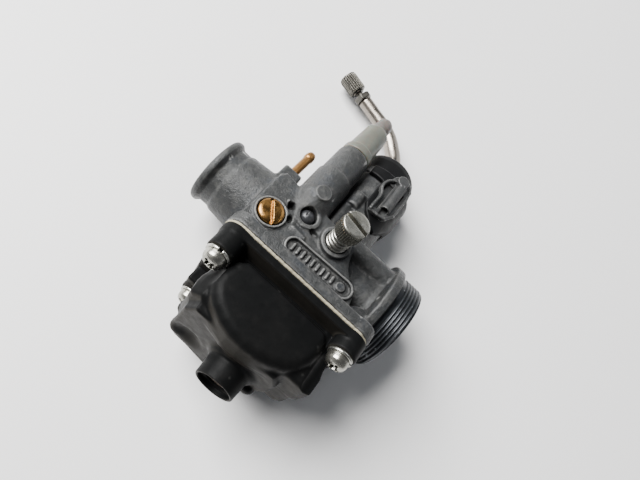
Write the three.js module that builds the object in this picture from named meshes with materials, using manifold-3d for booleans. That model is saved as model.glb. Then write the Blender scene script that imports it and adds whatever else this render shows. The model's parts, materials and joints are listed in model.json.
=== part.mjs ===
// Slide-valve carburetor: die-cast body, plastic float bowl, top cover with a
// bent cable guide, cold-start plunger, jets, float, and adjusting screws.
// Modelled about the crossing of the throttle bore and the slide, in mm:
//   +X along the throttle bore to the threaded air inlet
//   +Y along the slide to the cable cover
//   +Z out of the side that carries the adjusting screws
// The finished group lies on its plain side, leaning until the cover also
// touches the ground, so the whole frame is turned about X at the end.
import * as THREE from 'three';
import { mergeVertices } from 'three/addons/utils/BufferGeometryUtils.js';
import Module from 'manifold-3d';

const wasm = await Module();
wasm.setup();
const { Manifold, Mesh: ManifoldMesh } = wasm;

// ---------------------------------------------------------------- dimensions
const LEAN_DEG = -10.47;                // lean of the slide axis when lying down
const PLACE = { x: 6.45, y: -13.058, z: 19.763 };   // puts the bounding box on the origin

const BORE_R = 9.3;                    // throttle bore
const SPIGOT_X = -45.7, LIP_R = 12.0;  // engine end
const INLET_X = 32.8, THREAD_R = 16.0; // air end
const CHAMBER_R = 11.4, SLIDE_BORE_R = 10.05, SLIDE_R = 9.9;
const CHAMBER_TOP = 37.6;
const FLANGE = { x0: -28.3, x1: 24.3, z: 22.5, y0: -21.0, y1: -16.6, r: 5.2 };
const SCREW_X = [-23.1, 19.8], SCREW_Z = [18.0, -18.0];
const BOSS_END = [-30.3, -28.2];        // lower ends of the left and right bowl bosses
const TAP_END = { near: -17.2, far: -14.2 };
const BOSS_R = 4.5;
const GASKET_Y = [-21.75, -21.1];
const BOWL_TOP = -21.85, BOWL_FLOOR = -44.0, SOCKET_END = -52.4;
const CHOKE = { x: -14.4, z: 11.0, top: 34.5 };
const IDLE = { x: -0.7, y: 0.3 };
const MIX = { x: -21.6, y: -7.0 };
const BALL = { x: -12.4, y: 1.0, z: 12.8, r: 2.6 };
const FUEL = { x: -14.0, y: -8.2 };
const PIN = { x: 13.0, y: -26.0, r: 0.75 };
const NEEDLE_X = 8.7;
const TUBE_END = [-27.4, 73.4, 0];
const TUBE_DIR = new THREE.Vector3(-0.965, 0.262, 0).normalize();

// ------------------------------------------------------------------- helpers
const M4 = (...a) => new THREE.Matrix4().set(...a);
const AXIS = {
  X: M4(0, 1, 0, 0, -1, 0, 0, 0, 0, 0, 1, 0, 0, 0, 0, 1),
  Y: M4(1, 0, 0, 0, 0, 1, 0, 0, 0, 0, 1, 0, 0, 0, 0, 1),
  Z: M4(1, 0, 0, 0, 0, 0, -1, 0, 0, 1, 0, 0, 0, 0, 0, 1),
};
function solid(geometry, matrix) {
  const g = geometry.clone();
  for (const name of Object.keys(g.attributes)) if (name !== 'position') g.deleteAttribute(name);
  if (matrix) g.applyMatrix4(matrix);
  const m = mergeVertices(g, 1e-4);
  return new Manifold(new ManifoldMesh({
    numProp: 3,
    vertProperties: new Float32Array(m.attributes.position.array),
    triVerts: new Uint32Array(m.index.array),
  }));
}
function geometryOf(man) {
  const mesh = man.getMesh();
  const g = new THREE.BufferGeometry();
  g.setAttribute('position', new THREE.BufferAttribute(new Float32Array(mesh.vertProperties), 3));
  g.setIndex(new THREE.BufferAttribute(new Uint32Array(mesh.triVerts), 1));
  g.computeVertexNormals();
  return g;
}
const at = (x, y, z) => new THREE.Matrix4().makeTranslation(x, y, z);
const place = (axis, x, y, z) => at(x, y, z).multiply(AXIS[axis]);
const centre = (axis, c) => axis === 'X' ? [0, c[0], c[1]] : axis === 'Y' ? [c[0], 0, c[1]] : [c[0], c[1], 0];
// a turned shape: points are [radius, distance along the axis]
function rev(axis, c, pts, seg = 32) {
  const g = new THREE.LatheGeometry(pts.map(([r, h]) => new THREE.Vector2(r, h)), seg);
  return solid(g, place(axis, ...centre(axis, c)));
}
const cyl = (axis, c, r, a, b, seg = 28, r2 = r) => rev(axis, c, [[0, a], [r, a], [r2, b], [0, b]], seg);
const ring = (axis, c, ri, ro, a, b, seg = 28) => rev(axis, c, [[ri, a], [ro, a], [ro, b], [ri, b], [ri, a]], seg);
const box = (x0, x1, y0, y1, z0, z1) => solid(
  new THREE.BoxGeometry(x1 - x0, y1 - y0, z1 - z0), at((x0 + x1) / 2, (y0 + y1) / 2, (z0 + z1) / 2));
// an outline pushed along an axis; outline coordinates are the other two axes in order
function prism(axis, shape, a, b, curve = 6) {
  const s = shape instanceof THREE.Shape ? shape : new THREE.Shape(shape.map(([u, v]) => new THREE.Vector2(u, v)));
  const g = new THREE.ExtrudeGeometry(s, { depth: b - a, bevelEnabled: false, curveSegments: curve });
  const m = {
    X: M4(0, 0, 1, a, 1, 0, 0, 0, 0, 1, 0, 0, 0, 0, 0, 1),
    Y: M4(1, 0, 0, 0, 0, 0, -1, b, 0, 1, 0, 0, 0, 0, 0, 1),
    Z: M4(1, 0, 0, 0, 0, 1, 0, 0, 0, 0, 1, a, 0, 0, 0, 1),
  }[axis];
  return solid(g, m);
}
function rounded(x0, x1, y0, y1, r) {
  const s = new THREE.Shape();
  s.moveTo(x0 + r, y0); s.lineTo(x1 - r, y0); s.absarc(x1 - r, y0 + r, r, -Math.PI / 2, 0, false);
  s.lineTo(x1, y1 - r); s.absarc(x1 - r, y1 - r, r, 0, Math.PI / 2, false);
  s.lineTo(x0 + r, y1); s.absarc(x0 + r, y1 - r, r, Math.PI / 2, Math.PI, false);
  s.lineTo(x0, y0 + r); s.absarc(x0 + r, y0 + r, r, Math.PI, 1.5 * Math.PI, false);
  return s;
}
function disc(r, n) {
  const p = [];
  for (let i = 0; i < n; i++) p.push(new THREE.Vector2(r * Math.cos(2 * Math.PI * i / n), r * Math.sin(2 * Math.PI * i / n)));
  return new THREE.Shape(p);
}
function pipe(points, r, sides, steps) {
  const path = new THREE.CatmullRomCurve3(points.map((p) => new THREE.Vector3(...p)), false, 'centripetal');
  return solid(new THREE.ExtrudeGeometry(disc(r, sides), { steps, bevelEnabled: false, extrudePath: path }));
}
function helix(axis, c, r, a, b, turns, wire, perTurn = 12, sides = 6) {
  class Coil extends THREE.Curve {
    getPoint(t, out = new THREE.Vector3()) {
      const w = 2 * Math.PI * turns * t;
      return out.set(r * Math.cos(w), a + (b - a) * t, r * Math.sin(w));
    }
  }
  const g = new THREE.ExtrudeGeometry(disc(wire, sides), { steps: Math.round(turns * perTurn), bevelEnabled: false, extrudePath: new Coil() });
  return solid(g, place(axis, ...centre(axis, c)));
}
const hexPts = (r, n = 6, turn = 0) => Array.from({ length: n }, (_, i) =>
  [r * Math.cos(2 * Math.PI * i / n + turn), r * Math.sin(2 * Math.PI * i / n + turn)]);
const union = (...m) => m.reduce((p, q) => p.add(q));
const cut = (m, ...t) => t.reduce((p, q) => p.subtract(q), m);
// turned or extruded shapes set on a slanted line
const along = (point, dir) => {
  const q = new THREE.Quaternion().setFromUnitVectors(new THREE.Vector3(0, 1, 0), dir);
  return new THREE.Matrix4().compose(new THREE.Vector3(...point), q, new THREE.Vector3(1, 1, 1));
};
const revOn = (m, pts, seg = 24) => solid(new THREE.LatheGeometry(pts.map(([r, h]) => new THREE.Vector2(r, h)), seg), m);

// ----------------------------------------------------------------- materials
const mat = (color, roughness, metalness, extra = {}) => new THREE.MeshStandardMaterial({ color, roughness, metalness, ...extra });
const CAST = mat(0x83878a, 0.55, 0.7), PLASTIC = mat(0x1e2022, 0.42, 0.0), CREAM = mat(0xb9b191, 0.8, 0.0);
const ZINC = mat(0xc9c7bd, 0.3, 0.9), BRASS = mat(0xb98332, 0.32, 0.9), NICKEL = mat(0xb4aa9c, 0.2, 1.0);
const RUBBER = mat(0xa8aca2, 0.5, 0.0), STEEL = mat(0x9b9c9a, 0.35, 0.9), BLACK = mat(0x101010, 0.7, 0.0);
const FLOATM = mat(0x2a2a28, 0.5, 0.0);

const frame = new THREE.Group();
const add = (name, man, material) => {
  // a join can leave stray slivers of no volume, which are dropped
  const mesh = new THREE.Mesh(geometryOf(man.decompose().sort((p, q) => q.volume() - p.volume())[0]), material);
  mesh.name = name;
  frame.add(mesh);
};

// ------------------------------------------------------------- cast body
{
  const spigot = rev('X', [0, 0], [[0, SPIGOT_X], [10.9, SPIGOT_X], [LIP_R, SPIGOT_X + 0.8], [LIP_R, -43.2], [10.7, -42.2],
    [10.7, -39.2], [11.5, -38.0], [12.3, -30], [12.4, 0.4], [0, 0.4]], 32);
  const air = [[0, -0.3], [11.8, -0.3], [11.8, 12], [12.4, 18.6], [13.3, 20.6], [17.35, 21.1], [17.35, 24.2], [15.5, 24.3], [15.5, 26.0]];
  const PITCH = 1.22, TURNS = 5;
  for (let i = 0; i < TURNS; i++) {
    const x = 26.0 + i * PITCH;
    air.push([THREAD_R, x + 0.5], [15.4, x + 1.0]);
  }
  air.push([THREAD_R, 32.3], [15.3, INLET_X], [0, INLET_X]);
  const inlet = rev('X', [0, 0], air, 30);
  const chamber = cyl('Y', [0, 0], CHAMBER_R, -13.7, CHAMBER_TOP, 32);
  const flange = prism('Y', rounded(FLANGE.x0, FLANGE.x1, -FLANGE.z, FLANGE.z, FLANGE.r), FLANGE.y0, FLANGE.y1, 4);
  const plate = prism('Z', [[-28.0, -18], [13.2, -18], [14.5, -14.5], [14.6, -12.2], [14.0, -9.6], [12.6, -7.7], [10.2, -5.4], [7.9, -3.1],
    [6.6, -0.6], [5.6, 3.0], [3.2, 5.0], [-0.7, 5.7], [-5, 6.3], [-22, 8.0], [-26.5, 8.5], [-28.0, 6.9]], -0.6, 14.1);
  const farSide = prism('Z', [[-24, -18], [18, -18], [14, -8], [6, -2], [-22, -2], [-24, -6]], -11.3, 0.7);
  const web = prism('Z', [[12, -18], [23.4, -18], [23.4, -14.5], [22.4, -9.0], [20.6, -8.0], [17.8, -8.8], [15.4, -10.4], [12, -12]], -9, 12.3);
  const choke = rev('Y', [CHOKE.x, CHOKE.z], [[0, -2], [3.0, -2], [4.4, 2], [5.8, 5.6], [6.65, 8.4], [6.65, 21.2], [6.2, 21.4], [6.15, 34.0], [5.7, CHOKE.top], [0, CHOKE.top]], 32);
  const bridge = box(-14.2, 0, 6, 32, -3, 8);
  const nippleBlock = box(-29.6, -22.6, -4, 15.4, -2, 8.6);
  const airTube = cyl('X', [5.8, 10.3], 4.2, 2, 20.9, 20);
  const rib = cyl('Y', [-5.2, 10.2], 1.6, 4, 24, 14).add(cyl('Y', [-3.0, 10.8], 2.9, 14, 28.4, 18));
  const mixBoss = cyl('Z', [MIX.x, MIX.y], 5.3, 8, 15.0, 24);
  const ballBoss = cyl('Z', [BALL.x, BALL.y], 4.4, 8, 14.9, 24);
  const idleBoss = cyl('Z', [IDLE.x, IDLE.y], 5.3, 8, 16.0, 24);
  const pad = cyl('Z', [-13.8, 9.4], 2.8, 12, 18.1, 18);
  const fuelBoss = cyl('Z', [FUEL.x, FUEL.y], 5.4, -11.8, 0.9, 24);
  let body = union(spigot, inlet, chamber, flange, plate, farSide, web, choke, bridge, nippleBlock, airTube, rib,
    mixBoss, ballBoss, idleBoss, pad, fuelBoss);
  for (const x of SCREW_X) body = body.add(cyl('Y', [x, SCREW_Z[1]], BOSS_R, -20, -13, 20));
  // raised frame of the cast label, with plain ribs and a disc in it
  const stadium = (w, h) => rounded(-w, w, -h, h, h - 0.01);
  let label = prism('Z', stadium(13.0, 3.45), 13.9, 14.95, 8).subtract(prism('Z', stadium(12.2, 2.75), 13.8, 15.2, 8));
  for (let i = 0; i < 9; i++) label = label.add(box(-10.35 + 1.9 * i, -9.45 + 1.9 * i, -1.45, 1.45, 13.9, 14.6));
  label = label.add(cyl('Z', [8.6, 0], 1.6, 13.9, 14.6, 18));
  body = body.add(label.transform([Math.cos(0.035), Math.sin(0.035), 0, 0, -Math.sin(0.035), Math.cos(0.035), 0, 0, 0, 0, 1, 0, 0.25, -10.15, 0, 1]));
  // float bowl side: jet towers and float pin posts
  body = union(body, cyl('Y', [0, 0], 5.0, -36.5, -18, 24), cyl('Y', [-9.5, 0], 3.5, -28, -18, 18),
    box(10.8, 15.2, -28.2, -20, 4.6, 6.9), box(10.8, 15.2, -28.2, -20, -6.9, -4.6));
  // bores
  body = cut(body,
    cyl('X', [0, 0], BORE_R, SPIGOT_X - 1, 20, 32),
    cyl('X', [0, 0], BORE_R, 19.9, INLET_X + 0.1, 32, 13.4),
    cyl('Y', [0, 0], SLIDE_BORE_R, -10.1, CHAMBER_TOP + 1, 32),
    cyl('Y', [0, 0], 2.6, -37, -9.9, 20),
    cyl('Y', [-9.5, 0], 2.1, -29, -14.5, 16),
    cyl('Y', [NEEDLE_X, 0], 2.85, -22, -14.6, 20),
    cyl('Y', [CHOKE.x, CHOKE.z], 4.15, 10.0, CHOKE.top + 1, 24),
    cyl('Z', [IDLE.x, IDLE.y], 2.05, 5, 17, 18), cyl('Z', [IDLE.x, IDLE.y], 4.0, 14.9, 17, 24),
    cyl('Z', [MIX.x, MIX.y], 4.55, 12.4, 16, 24), cyl('Z', [MIX.x, MIX.y], 3.3, 10.2, 16, 20), cyl('Z', [MIX.x, MIX.y], 2.15, 8.6, 16, 16),
    cyl('Z', [MIX.x, MIX.y], 0.55, 4, 9, 10),
    cyl('Z', [BALL.x, BALL.y], 2.85, 10.0, 16, 24),
    cyl('Y', [-26.2, 4.4], 1.62, 5, 16, 16),
    cyl('Z', [FUEL.x, FUEL.y], 2.75, -13, -9.2, 18),
    cyl('Z', [PIN.x, PIN.y], PIN.r + 0.1, -8, 8, 14));
  for (const x of SCREW_X) for (const z of SCREW_Z) body = body.subtract(cyl('Y', [x, z], 2.0, -22, z > 0 ? TAP_END.near : TAP_END.far, 14));
  add('carburetor_body', body, CAST);
}
add('vent_nipple', ring('Y', [-26.2, 4.4], 0.8, 1.45, 9, 25.0, 16).add(rev('Y', [-26.2, 4.4],
  [[0.8, 24.8], [1.45, 24.8], [1.75, 25.6], [1.75, 27.6], [1.35, 29.2], [0.8, 29.2], [0.8, 24.8]], 16)), BRASS);
add('passage_plug', solid(new THREE.SphereGeometry(BALL.r, 20, 12), at(BALL.x, BALL.y, BALL.z)), STEEL);

// ---------------------------------------------------------- float bowl group
{
  const outline = rounded(FLANGE.x0 + 0.3, FLANGE.x1 - 0.3, -FLANGE.z + 0.3, FLANGE.z - 0.3, FLANGE.r);
  let gasket = prism('Y', outline, GASKET_Y[0], GASKET_Y[1], 4).subtract(prism('Y', rounded(-19.4, 16.0, -16.6, 16.6, 4), -23, -20, 3));
  for (const x of SCREW_X) for (const z of SCREW_Z) gasket = gasket.subtract(cyl('Y', [x, z], 2.2, -23, -20, 14));
  add('bowl_gasket', gasket, CREAM);

  let bowl = prism('Y', rounded(FLANGE.x0 + 0.2, FLANGE.x1 - 0.2, -21.0, 21.0, 5), -24.6, BOWL_TOP, 4);
  const flip = (pts) => pts.slice().reverse();
  // the side walls step in twice towards the bottom
  const mid = [[-22.3, 12], [-19, 15.4], [15.4, 15.4], [19.2, 12], [19.4, -7], [17.6, -9.8], [13.4, -10.6], [9.6, -14.6], [5, -17.4], [-2, -18.8],
    [-17, -18.6], [-20.8, -16.8], [-22.3, -13]];
  const low = [[-20.4, 8], [-17.6, 14.0], [10, 14.0], [12.4, 9], [12.8, 2], [12.0, -2.6], [9.6, -6.6], [6.6, -9.6], [3.6, -15.4], [0, -18.4],
    [-6.2, -18.5], [-10.4, -17.9], [-14, -16.8], [-18.4, -16.4], [-20.6, -14.4], [-21.3, -11], [-20.9, -3]];
  bowl = union(bowl, prism('Y', rounded(-22.4, 18.8, -18.9, 15.5, 5.5), -37.5, -23, 5), prism('Y', flip(mid), -41.3, -36), prism('Y', flip(low), BOWL_FLOOR, -41));
  // the big bulge towards the adjusters
  const dome = [[-18.6, -25.5], [13.2, -25.7], [14.6, -27.2], [15.6, -31.5], [15.0, -35.6], [13.2, -39.2], [10.3, -42.0], [6.1, -43.8],
    [-10.7, -43.9], [-14.8, -42.0], [-17.3, -39.9], [-19.3, -37.0], [-20.0, -33], [-19.8, -28.5]].reverse();
  const shrink = (kx, ky) => dome.map(([x, y]) => [(x + 2.2) * kx - 2.2, (y + 32.6) * ky - 32.6]);
  bowl = union(bowl, prism('Z', dome, 6, 16.6), prism('Z', shrink(0.965, 0.975), 16.2, 18.4), prism('Z', shrink(0.90, 0.92), 18, 19.5));
  for (const z of SCREW_Z) SCREW_X.forEach((x, i) => { bowl = bowl.add(cyl('Y', [x, z], BOSS_R, BOSS_END[i], BOWL_TOP, 20)); });
  // foot block under the right-hand boss, corner webs, drain socket
  bowl = union(bowl, prism('Z', [[12.4, -41.4], [18.0, -41.6], [20.1, -41.0], [20.2, -36], [19.0, -30], [11.6, -33]], 2.6, 16.1),
    prism('Z', [[13.6, -31], [19.3, -31], [19.6, -23.5], [14.2, -23.5]], 6.1, 15.9), box(-27.4, -20, -30, -23, -19, -10), cyl('Y', [0, 0], 7.7, -46.1, -40, 28),
    cyl('Y', [0, 0], 6.4, SOCKET_END, -45, 28, 7.0), cyl('Y', [8.2, -6.6], 2.0, -46.2, -41, 14));
  // the hollow, which steps in like the outside, and the pocket under its far left corner
  bowl = cut(bowl, prism('Y', rounded(-20.0, 16.4, -16.8, 13.4, 5), -36.2, -20, 4),
    prism('Y', [[-20.0, 10], [-17, 13.4], [13, 13.4], [16.6, 10], [16.6, -6], [12, -8.4], [8.2, -12.8], [3.8, -15.4], [-2, -16.8], [-16, -16.6], [-20, -12]].reverse(), -38.4, -35.9),
    prism('Y', [[-15, 12], [9, 12], [10.4, 6], [9.8, -2], [5, -8], [1.6, -14], [-6, -16.2], [-8, -14], [-13, 0]].reverse(), -41.9, -38),
    prism('Z', shrink(0.86, 0.84), 7, 17.4),
    prism('Y', [[-19.4, -3.4], [-16.2, 0], [-12.9, -6.3], [-9.9, -13.5], [-13.4, -14.5], [-17.4, -14.1], [-19.3, -11.5]].reverse(), -46, -42.7),
    cyl('Y', [0, 0], 4.7, SOCKET_END - 1, -40, 24), cyl('Y', [0, 0], 5.5, SOCKET_END - 1, -50.6, 28));
  for (const z of SCREW_Z) SCREW_X.forEach((x, i) => { bowl = bowl.subtract(cyl('Y', [x, z], 2.25, -31, -20, 14)).subtract(cyl('Y', [x, z], 4.2, -50, BOSS_END[i], 20)); });
  add('float_bowl', bowl, PLASTIC);

  const names = ['far_left', 'far_right', 'near_left', 'near_right'];
  let k = 0;
  for (const z of [-18, 18]) for (const x of SCREW_X) {
    const n = names[k++], e = BOSS_END[SCREW_X.indexOf(x)];
    add(`bowl_lock_washer_${n}`, cut(ring('Y', [x, z], 2.15, 3.9, e - 1.1, e - 0.2, 20), box(x + 1.9, x + 4.2, e - 2, e, z - 0.35, z + 0.35)), ZINC);
    let s = cyl('Y', [x, z], 1.85, e - 1.5, (z > 0 ? TAP_END.near : TAP_END.far) - 0.5, 14).add(rev('Y', [x, z],
      [[0, e - 4.25], [1.6, e - 4.25], [2.4, e - 4.05], [3.0, e - 3.6], [3.45, e - 2.9], [3.6, e - 1.3], [0, e - 1.3]], 22));
    s = cut(s, box(x - 2.0, x + 2.0, e - 5, e - 2.7, z - 0.45, z + 0.45), box(x - 0.45, x + 0.45, e - 5, e - 2.7, z - 2.0, z + 2.0));
    add(`bowl_screw_${n}`, s, ZINC);
  }
  const plug = rev('Y', [0, 0], [[0, -50.2], [4.3, -50.2], [4.3, -48.6], [3.35, -48.6], [3.35, -47.0], [4.3, -47.0], [4.3, -44.2], [0, -44.2]], 24);
  add('main_jet_plug', cut(plug, prism('Y', hexPts(2.2), -51, -48.4)), STEEL);
  add('plug_o_ring', ring('Y', [0, 0], 3.5, 4.45, -48.4, -47.2, 24), BLACK);
}

// ------------------------------------------------ jets, float, float needle
add('needle_jet', ring('Y', [0, 0], 1.45, 2.45, -31.5, -10.6, 16), BRASS);
add('main_jet', cut(cyl('Y', [0, 0], 2.4, -36.9, -32.2, 16).add(prism('Y', hexPts(3.3), -39.8, -36.8)), cyl('Y', [0, 0], 0.6, -41, -30, 10)), BRASS);
add('idle_jet', cut(cyl('Y', [-9.5, 0], 1.95, -27.7, -16, 14), cyl('Y', [-9.5, 0], 0.5, -29, -15, 8), box(-11.6, -7.4, -28, -26.8, -0.35, 0.35)), BRASS);
add('float_needle_seat', cut(cyl('Y', [NEEDLE_X, 0], 2.7, -24.6, -14.9, 18), cyl('Y', [NEEDLE_X, 0], 1.45, -25, -16.6, 16), cyl('Y', [NEEDLE_X, 0], 0.8, -17, -14, 10)), BRASS);
add('float_needle', rev('Y', [NEEDLE_X, 0], [[0, -27.3], [1.3, -27.3], [1.3, -19.2], [0.35, -17.4], [0, -17.4]], 14), BRASS);
add('float_pin', cyl('Z', [PIN.x, PIN.y], PIN.r, -10.6, 10.6, 14), STEEL);
{
  let f = box(-15.6, -12.6, -35.2, -30, -8, 8);
  for (const s of [1, -1]) {
    const z0 = s > 0 ? 7.4 : -12.4, z1 = s > 0 ? 12.4 : -7.4;
    f = f.add(prism('Z', rounded(-15.6, 8.6, -35.4, -28.6, 2.4), z0, z1, 3));
    f = f.add(prism('Z', [[5.4, -30.4], [7.0, -28.9], [11.6, -24.3], [14.6, -24.3], [14.8, -27.6], [9, -31.5], [5.4, -31.5]].reverse(), s > 0 ? 7.7 : -9.3, s > 0 ? 9.3 : -7.7));
  }
  f = f.add(box(6.9, 10.4, -28.75, -27.6, -9, 9));
  add('float', f.subtract(cyl('Z', [PIN.x, PIN.y], PIN.r + 0.1, -12, 12, 14)), FLOATM);
}

// ------------------------------------------------------------ throttle slide
{
  let s = cut(cyl('Y', [0, 0], SLIDE_R, -9.7, 13.0, 32), cyl('Y', [0, 0], 8.4, -7.2, 14, 32), cyl('Y', [0, 0], 1.6, -11, -7, 14),
    box(IDLE.x - 2.2, IDLE.x + 2.2, -11, 2.65, 8.85, 11), prism('Z', [[0, -10.4], [11, -10.4], [11, -7.7]], -11, 11));
  add('throttle_slide', s, NICKEL);
  add('jet_needle', rev('Y', [0, 0], [[0, -31.4], [0.55, -31.4], [1.2, -14], [1.2, -6.0], [1.2, -2.4], [0, -2.4]], 12), BRASS);
  add('needle_clip', cut(ring('Y', [0, 0], 1.32, 2.9, -6.9, -6.2, 18), box(1.0, 3.2, -8, -6, -0.6, 0.6)), STEEL);
  add('spring_retainer', ring('Y', [0, 0], 1.6, 7.7, -5.9, -5.2, 24), PLASTIC);
  add('slide_return_spring', helix('Y', [0, 0], 6.9, -4.5, 44.6, 8, 0.5, 10, 5), STEEL);
}

// ---------------------------------------------------------------- top cover
{
  const SKIRT = [[0.6, 41], [0.6, 19.0], [6.2, 13.4], [9.2, 13.6], [10.6, 17], [12.6, 24], [14.4, 30], [14.4, 41]].reverse();
  let cap = rev('Y', [0, 0], [[0, 38.4], [11.3, 38.4], [11.3, 47.6], [10.4, 49.0], [0, 49.0]], 36);
  const skirt = cut(cyl('Y', [0, 0], 13.5, 13, 40.5, 36), cyl('Y', [0, 0], 11.7, 12, 38.4, 36)).intersect(prism('Z', SKIRT, -4, 15));
  cap = cut(cap.add(skirt), cyl('Y', [0, 0], 9.4, 38, 45.6, 32), cyl('Y', [0, 0], 2.75, 45, 50, 18));
  add('slide_cover', cap, PLASTIC);
  add('cover_gasket', ring('Y', [0, 0], 10.3, 11.2, 37.75, 38.2, 32), BLACK);
  // grey retaining clamp with its pocket, pin barrel and end disc
  const outline = [[0.4, 37.2], [1.0, 39.4], [2.4, 41.0], [4.4, 41.6], [6.4, 41.2], [7.8, 39.6], [8.6, 37.1], [8.9, 33], [8.8, 28], [8.3, 24],
    [7.4, 21.2], [6.2, 20.0], [1.6, 19.7], [0.2, 20.2], [0.2, 27.0]].reverse();
  const floorOfPocket = [[1.0, 38.4], [2.4, 40.2], [6.0, 40.2], [7.3, 38.4], [7.9, 33], [7.8, 28], [7.4, 24.6], [6.2, 21.4], [1.6, 21.2], [1.4, 30]].reverse();
  const strap = [[0.05, 20.2], [1.15, 20.2], [1.15, 23.4], [1.3, 26.2], [0.9, 28.5], [-0.2, 30.4], [-0.4, 32.1], [0.35, 34.2], [1.8, 35.9], [1.0, 36.9],
    [-0.75, 34.9], [-1.5, 32.3], [-1.3, 30.1], [-0.2, 28.1], [0.2, 26.2], [0.05, 23.4]];
  let c = cut(prism('Z', outline, 13.9, 15.5), prism('Z', floorOfPocket, 14.8, 17));
  c = union(c, prism('Z', strap, 14.2, 16.1), cyl('Y', [4.9, 15.4], 1.85, 23.2, 36.4, 18), cyl('Z', [3.9, 37.8], 2.25, 14.2, 17.1, 20));
  c = cut(c, cyl('Y', [4.9, 15.4], 1.25, 21, 28.2, 12), prism('Z', [[1.6, 22.2], [2.5, 22.2], [2.6, 34.4], [1.6, 34.4]], 14.3, 17));
  add('cover_clamp', c, CAST);
}

// --------------------------------------------------- cable guide at the top
{
  const path = [[0, 45.9, 0], [0, 51, 0], [-0.7, 55.2, 0], [-2.6, 59.2, 0], [-5.8, 63.2, 0], [-10.0, 67.2, 0], [-14.8, 69.8, 0], [-20.6, 71.5, 0], TUBE_END];
  let t = union(pipe(path, 2.65, 12, 22), cyl('Y', [0, 0], 3.8, 49.2, 50.8, 20));
  t = t.subtract(pipe([[0, 45.0, 0], ...path.slice(1, -1), [TUBE_END[0] + TUBE_DIR.x * 1.5, TUBE_END[1] + TUBE_DIR.y * 1.5, 0]], 1.75, 8, 22));
  add('cable_elbow', t, NICKEL);
  const m = along(TUBE_END, TUBE_DIR);
  add('adjuster_lock_nut', cut(solid(new THREE.CylinderGeometry(3.8, 3.8, 2.3, 6), m.clone().multiply(at(0, 1.6, 0))),
    revOn(m, [[0, 0], [1.75, 0], [1.75, 4], [0, 4]], 14)), NICKEL);
  const head = [];
  for (let i = 0; i < 28; i++) { const r = i % 2 ? 3.4 : 3.7, w = 2 * Math.PI * i / 28; head.push(new THREE.Vector2(r * Math.cos(w), r * Math.sin(w))); }
  const knurl = solid(new THREE.ExtrudeGeometry(new THREE.Shape(head), { depth: 7.2, bevelEnabled: false }),
    m.clone().multiply(at(0, 4.9, 0)).multiply(new THREE.Matrix4().makeRotationX(-Math.PI / 2)));
  let a = union(knurl, revOn(m, [[0, -3.0], [1.5, -3.0], [1.5, 5], [0, 5]], 14), revOn(m, [[0, 4.2], [2.4, 4.2], [2.4, 5.3], [0, 5.3]], 16), revOn(m, [[0, 11.9], [3.2, 11.9], [2.8, 12.9], [0, 12.9]], 20));
  a = cut(a, revOn(m, [[0, -4], [0.7, -4], [0.7, 13], [0, 13]], 10));
  add('cable_adjuster', a, NICKEL);
}

// ------------------------------------------------------ cold-start (choke)
{
  const c = [CHOKE.x, CHOKE.z];
  let p = union(cyl('Y', c, 3.95, 10.5, 18.5, 22), cyl('Y', c, 1.15, 18, 57.0, 14));
  p = p.add(rev('Y', c, [[0, 56.5], [2.35, 56.5], [2.8, 57.1], [2.9, 58.3], [2.55, 59.5], [1.8, 60.4], [1.0, 60.9], [0, 61.0]], 18));
  add('choke_plunger', p, BRASS);
  add('choke_spring', helix('Y', c, 2.9, 19.2, 30.5, 5, 0.4, 8, 5), STEEL);
  add('choke_cap', rev('Y', c, [[1.45, 31.3], [4.0, 31.3], [4.0, 34.7], [4.6, 34.7], [4.6, 36.1], [3.2, 36.9], [1.45, 36.9], [1.45, 31.3]], 22), ZINC);
  add('choke_boot', rev('Y', c, [[4.85, 34.7], [5.6, 34.7], [5.6, 38.0], [5.1, 38.6], [4.65, 46.5], [4.1, 54.4], [3.7, 55.7], [3.0, 56.15], [1.5, 56.15],
    [1.5, 54.9], [2.9, 54.0], [3.85, 46.5], [4.4, 39.0], [4.85, 37.4], [4.85, 34.7]], 28), RUBBER);
}

// --------------------------------------------------------- adjusting screws
{
  const knurl = [];
  for (let i = 0; i < 44; i++) { const r = i % 2 ? 4.25 : 4.5, w = 2 * Math.PI * i / 44; knurl.push(new THREE.Vector2(r * Math.cos(w), r * Math.sin(w))); }
  const headZ = [22.6, 29.2];
  const head = solid(new THREE.ExtrudeGeometry(new THREE.Shape(knurl), { depth: headZ[1] - headZ[0] - 0.8, bevelEnabled: false }), at(IDLE.x, IDLE.y, headZ[0]));
  let s = union(head, cyl('Z', [IDLE.x, IDLE.y], 4.3, headZ[1] - 0.9, headZ[1], 24, 3.9), cyl('Z', [IDLE.x, IDLE.y], 1.9, 9.25, 23, 16));
  const w = new THREE.Matrix4().makeRotationZ(-0.19);
  s = s.subtract(solid(new THREE.BoxGeometry(10, 1.36, 4.6), at(IDLE.x, IDLE.y, headZ[1]).multiply(w)));
  add('idle_speed_screw', s, ZINC);
  add('idle_speed_spring', helix('Z', [IDLE.x, IDLE.y], 3.1, 15.6, 21.9, 4.2, 0.55, 12, 6), ZINC);

  let m = union(rev('Z', [MIX.x, MIX.y], [[0, 13.0], [4.2, 13.0], [4.25, 14.6], [3.8, 15.6], [2.6, 16.0], [0, 16.0]], 24),
    cyl('Z', [MIX.x, MIX.y], 2.0, 8.9, 13.2, 14), cyl('Z', [MIX.x, MIX.y], 0.35, 6.9, 9.0, 10, 0.5));
  const t = new THREE.Matrix4().makeRotationZ(0.636);
  m = m.subtract(solid(new THREE.BoxGeometry(1.0, 10, 2.6), at(MIX.x, MIX.y, 16.2).multiply(t)));
  add('mixture_screw', m, BRASS);
  add('mixture_spring', helix('Z', [MIX.x, MIX.y], 2.72, 10.7, 12.3, 2, 0.3, 12, 6), STEEL);
}

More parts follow.
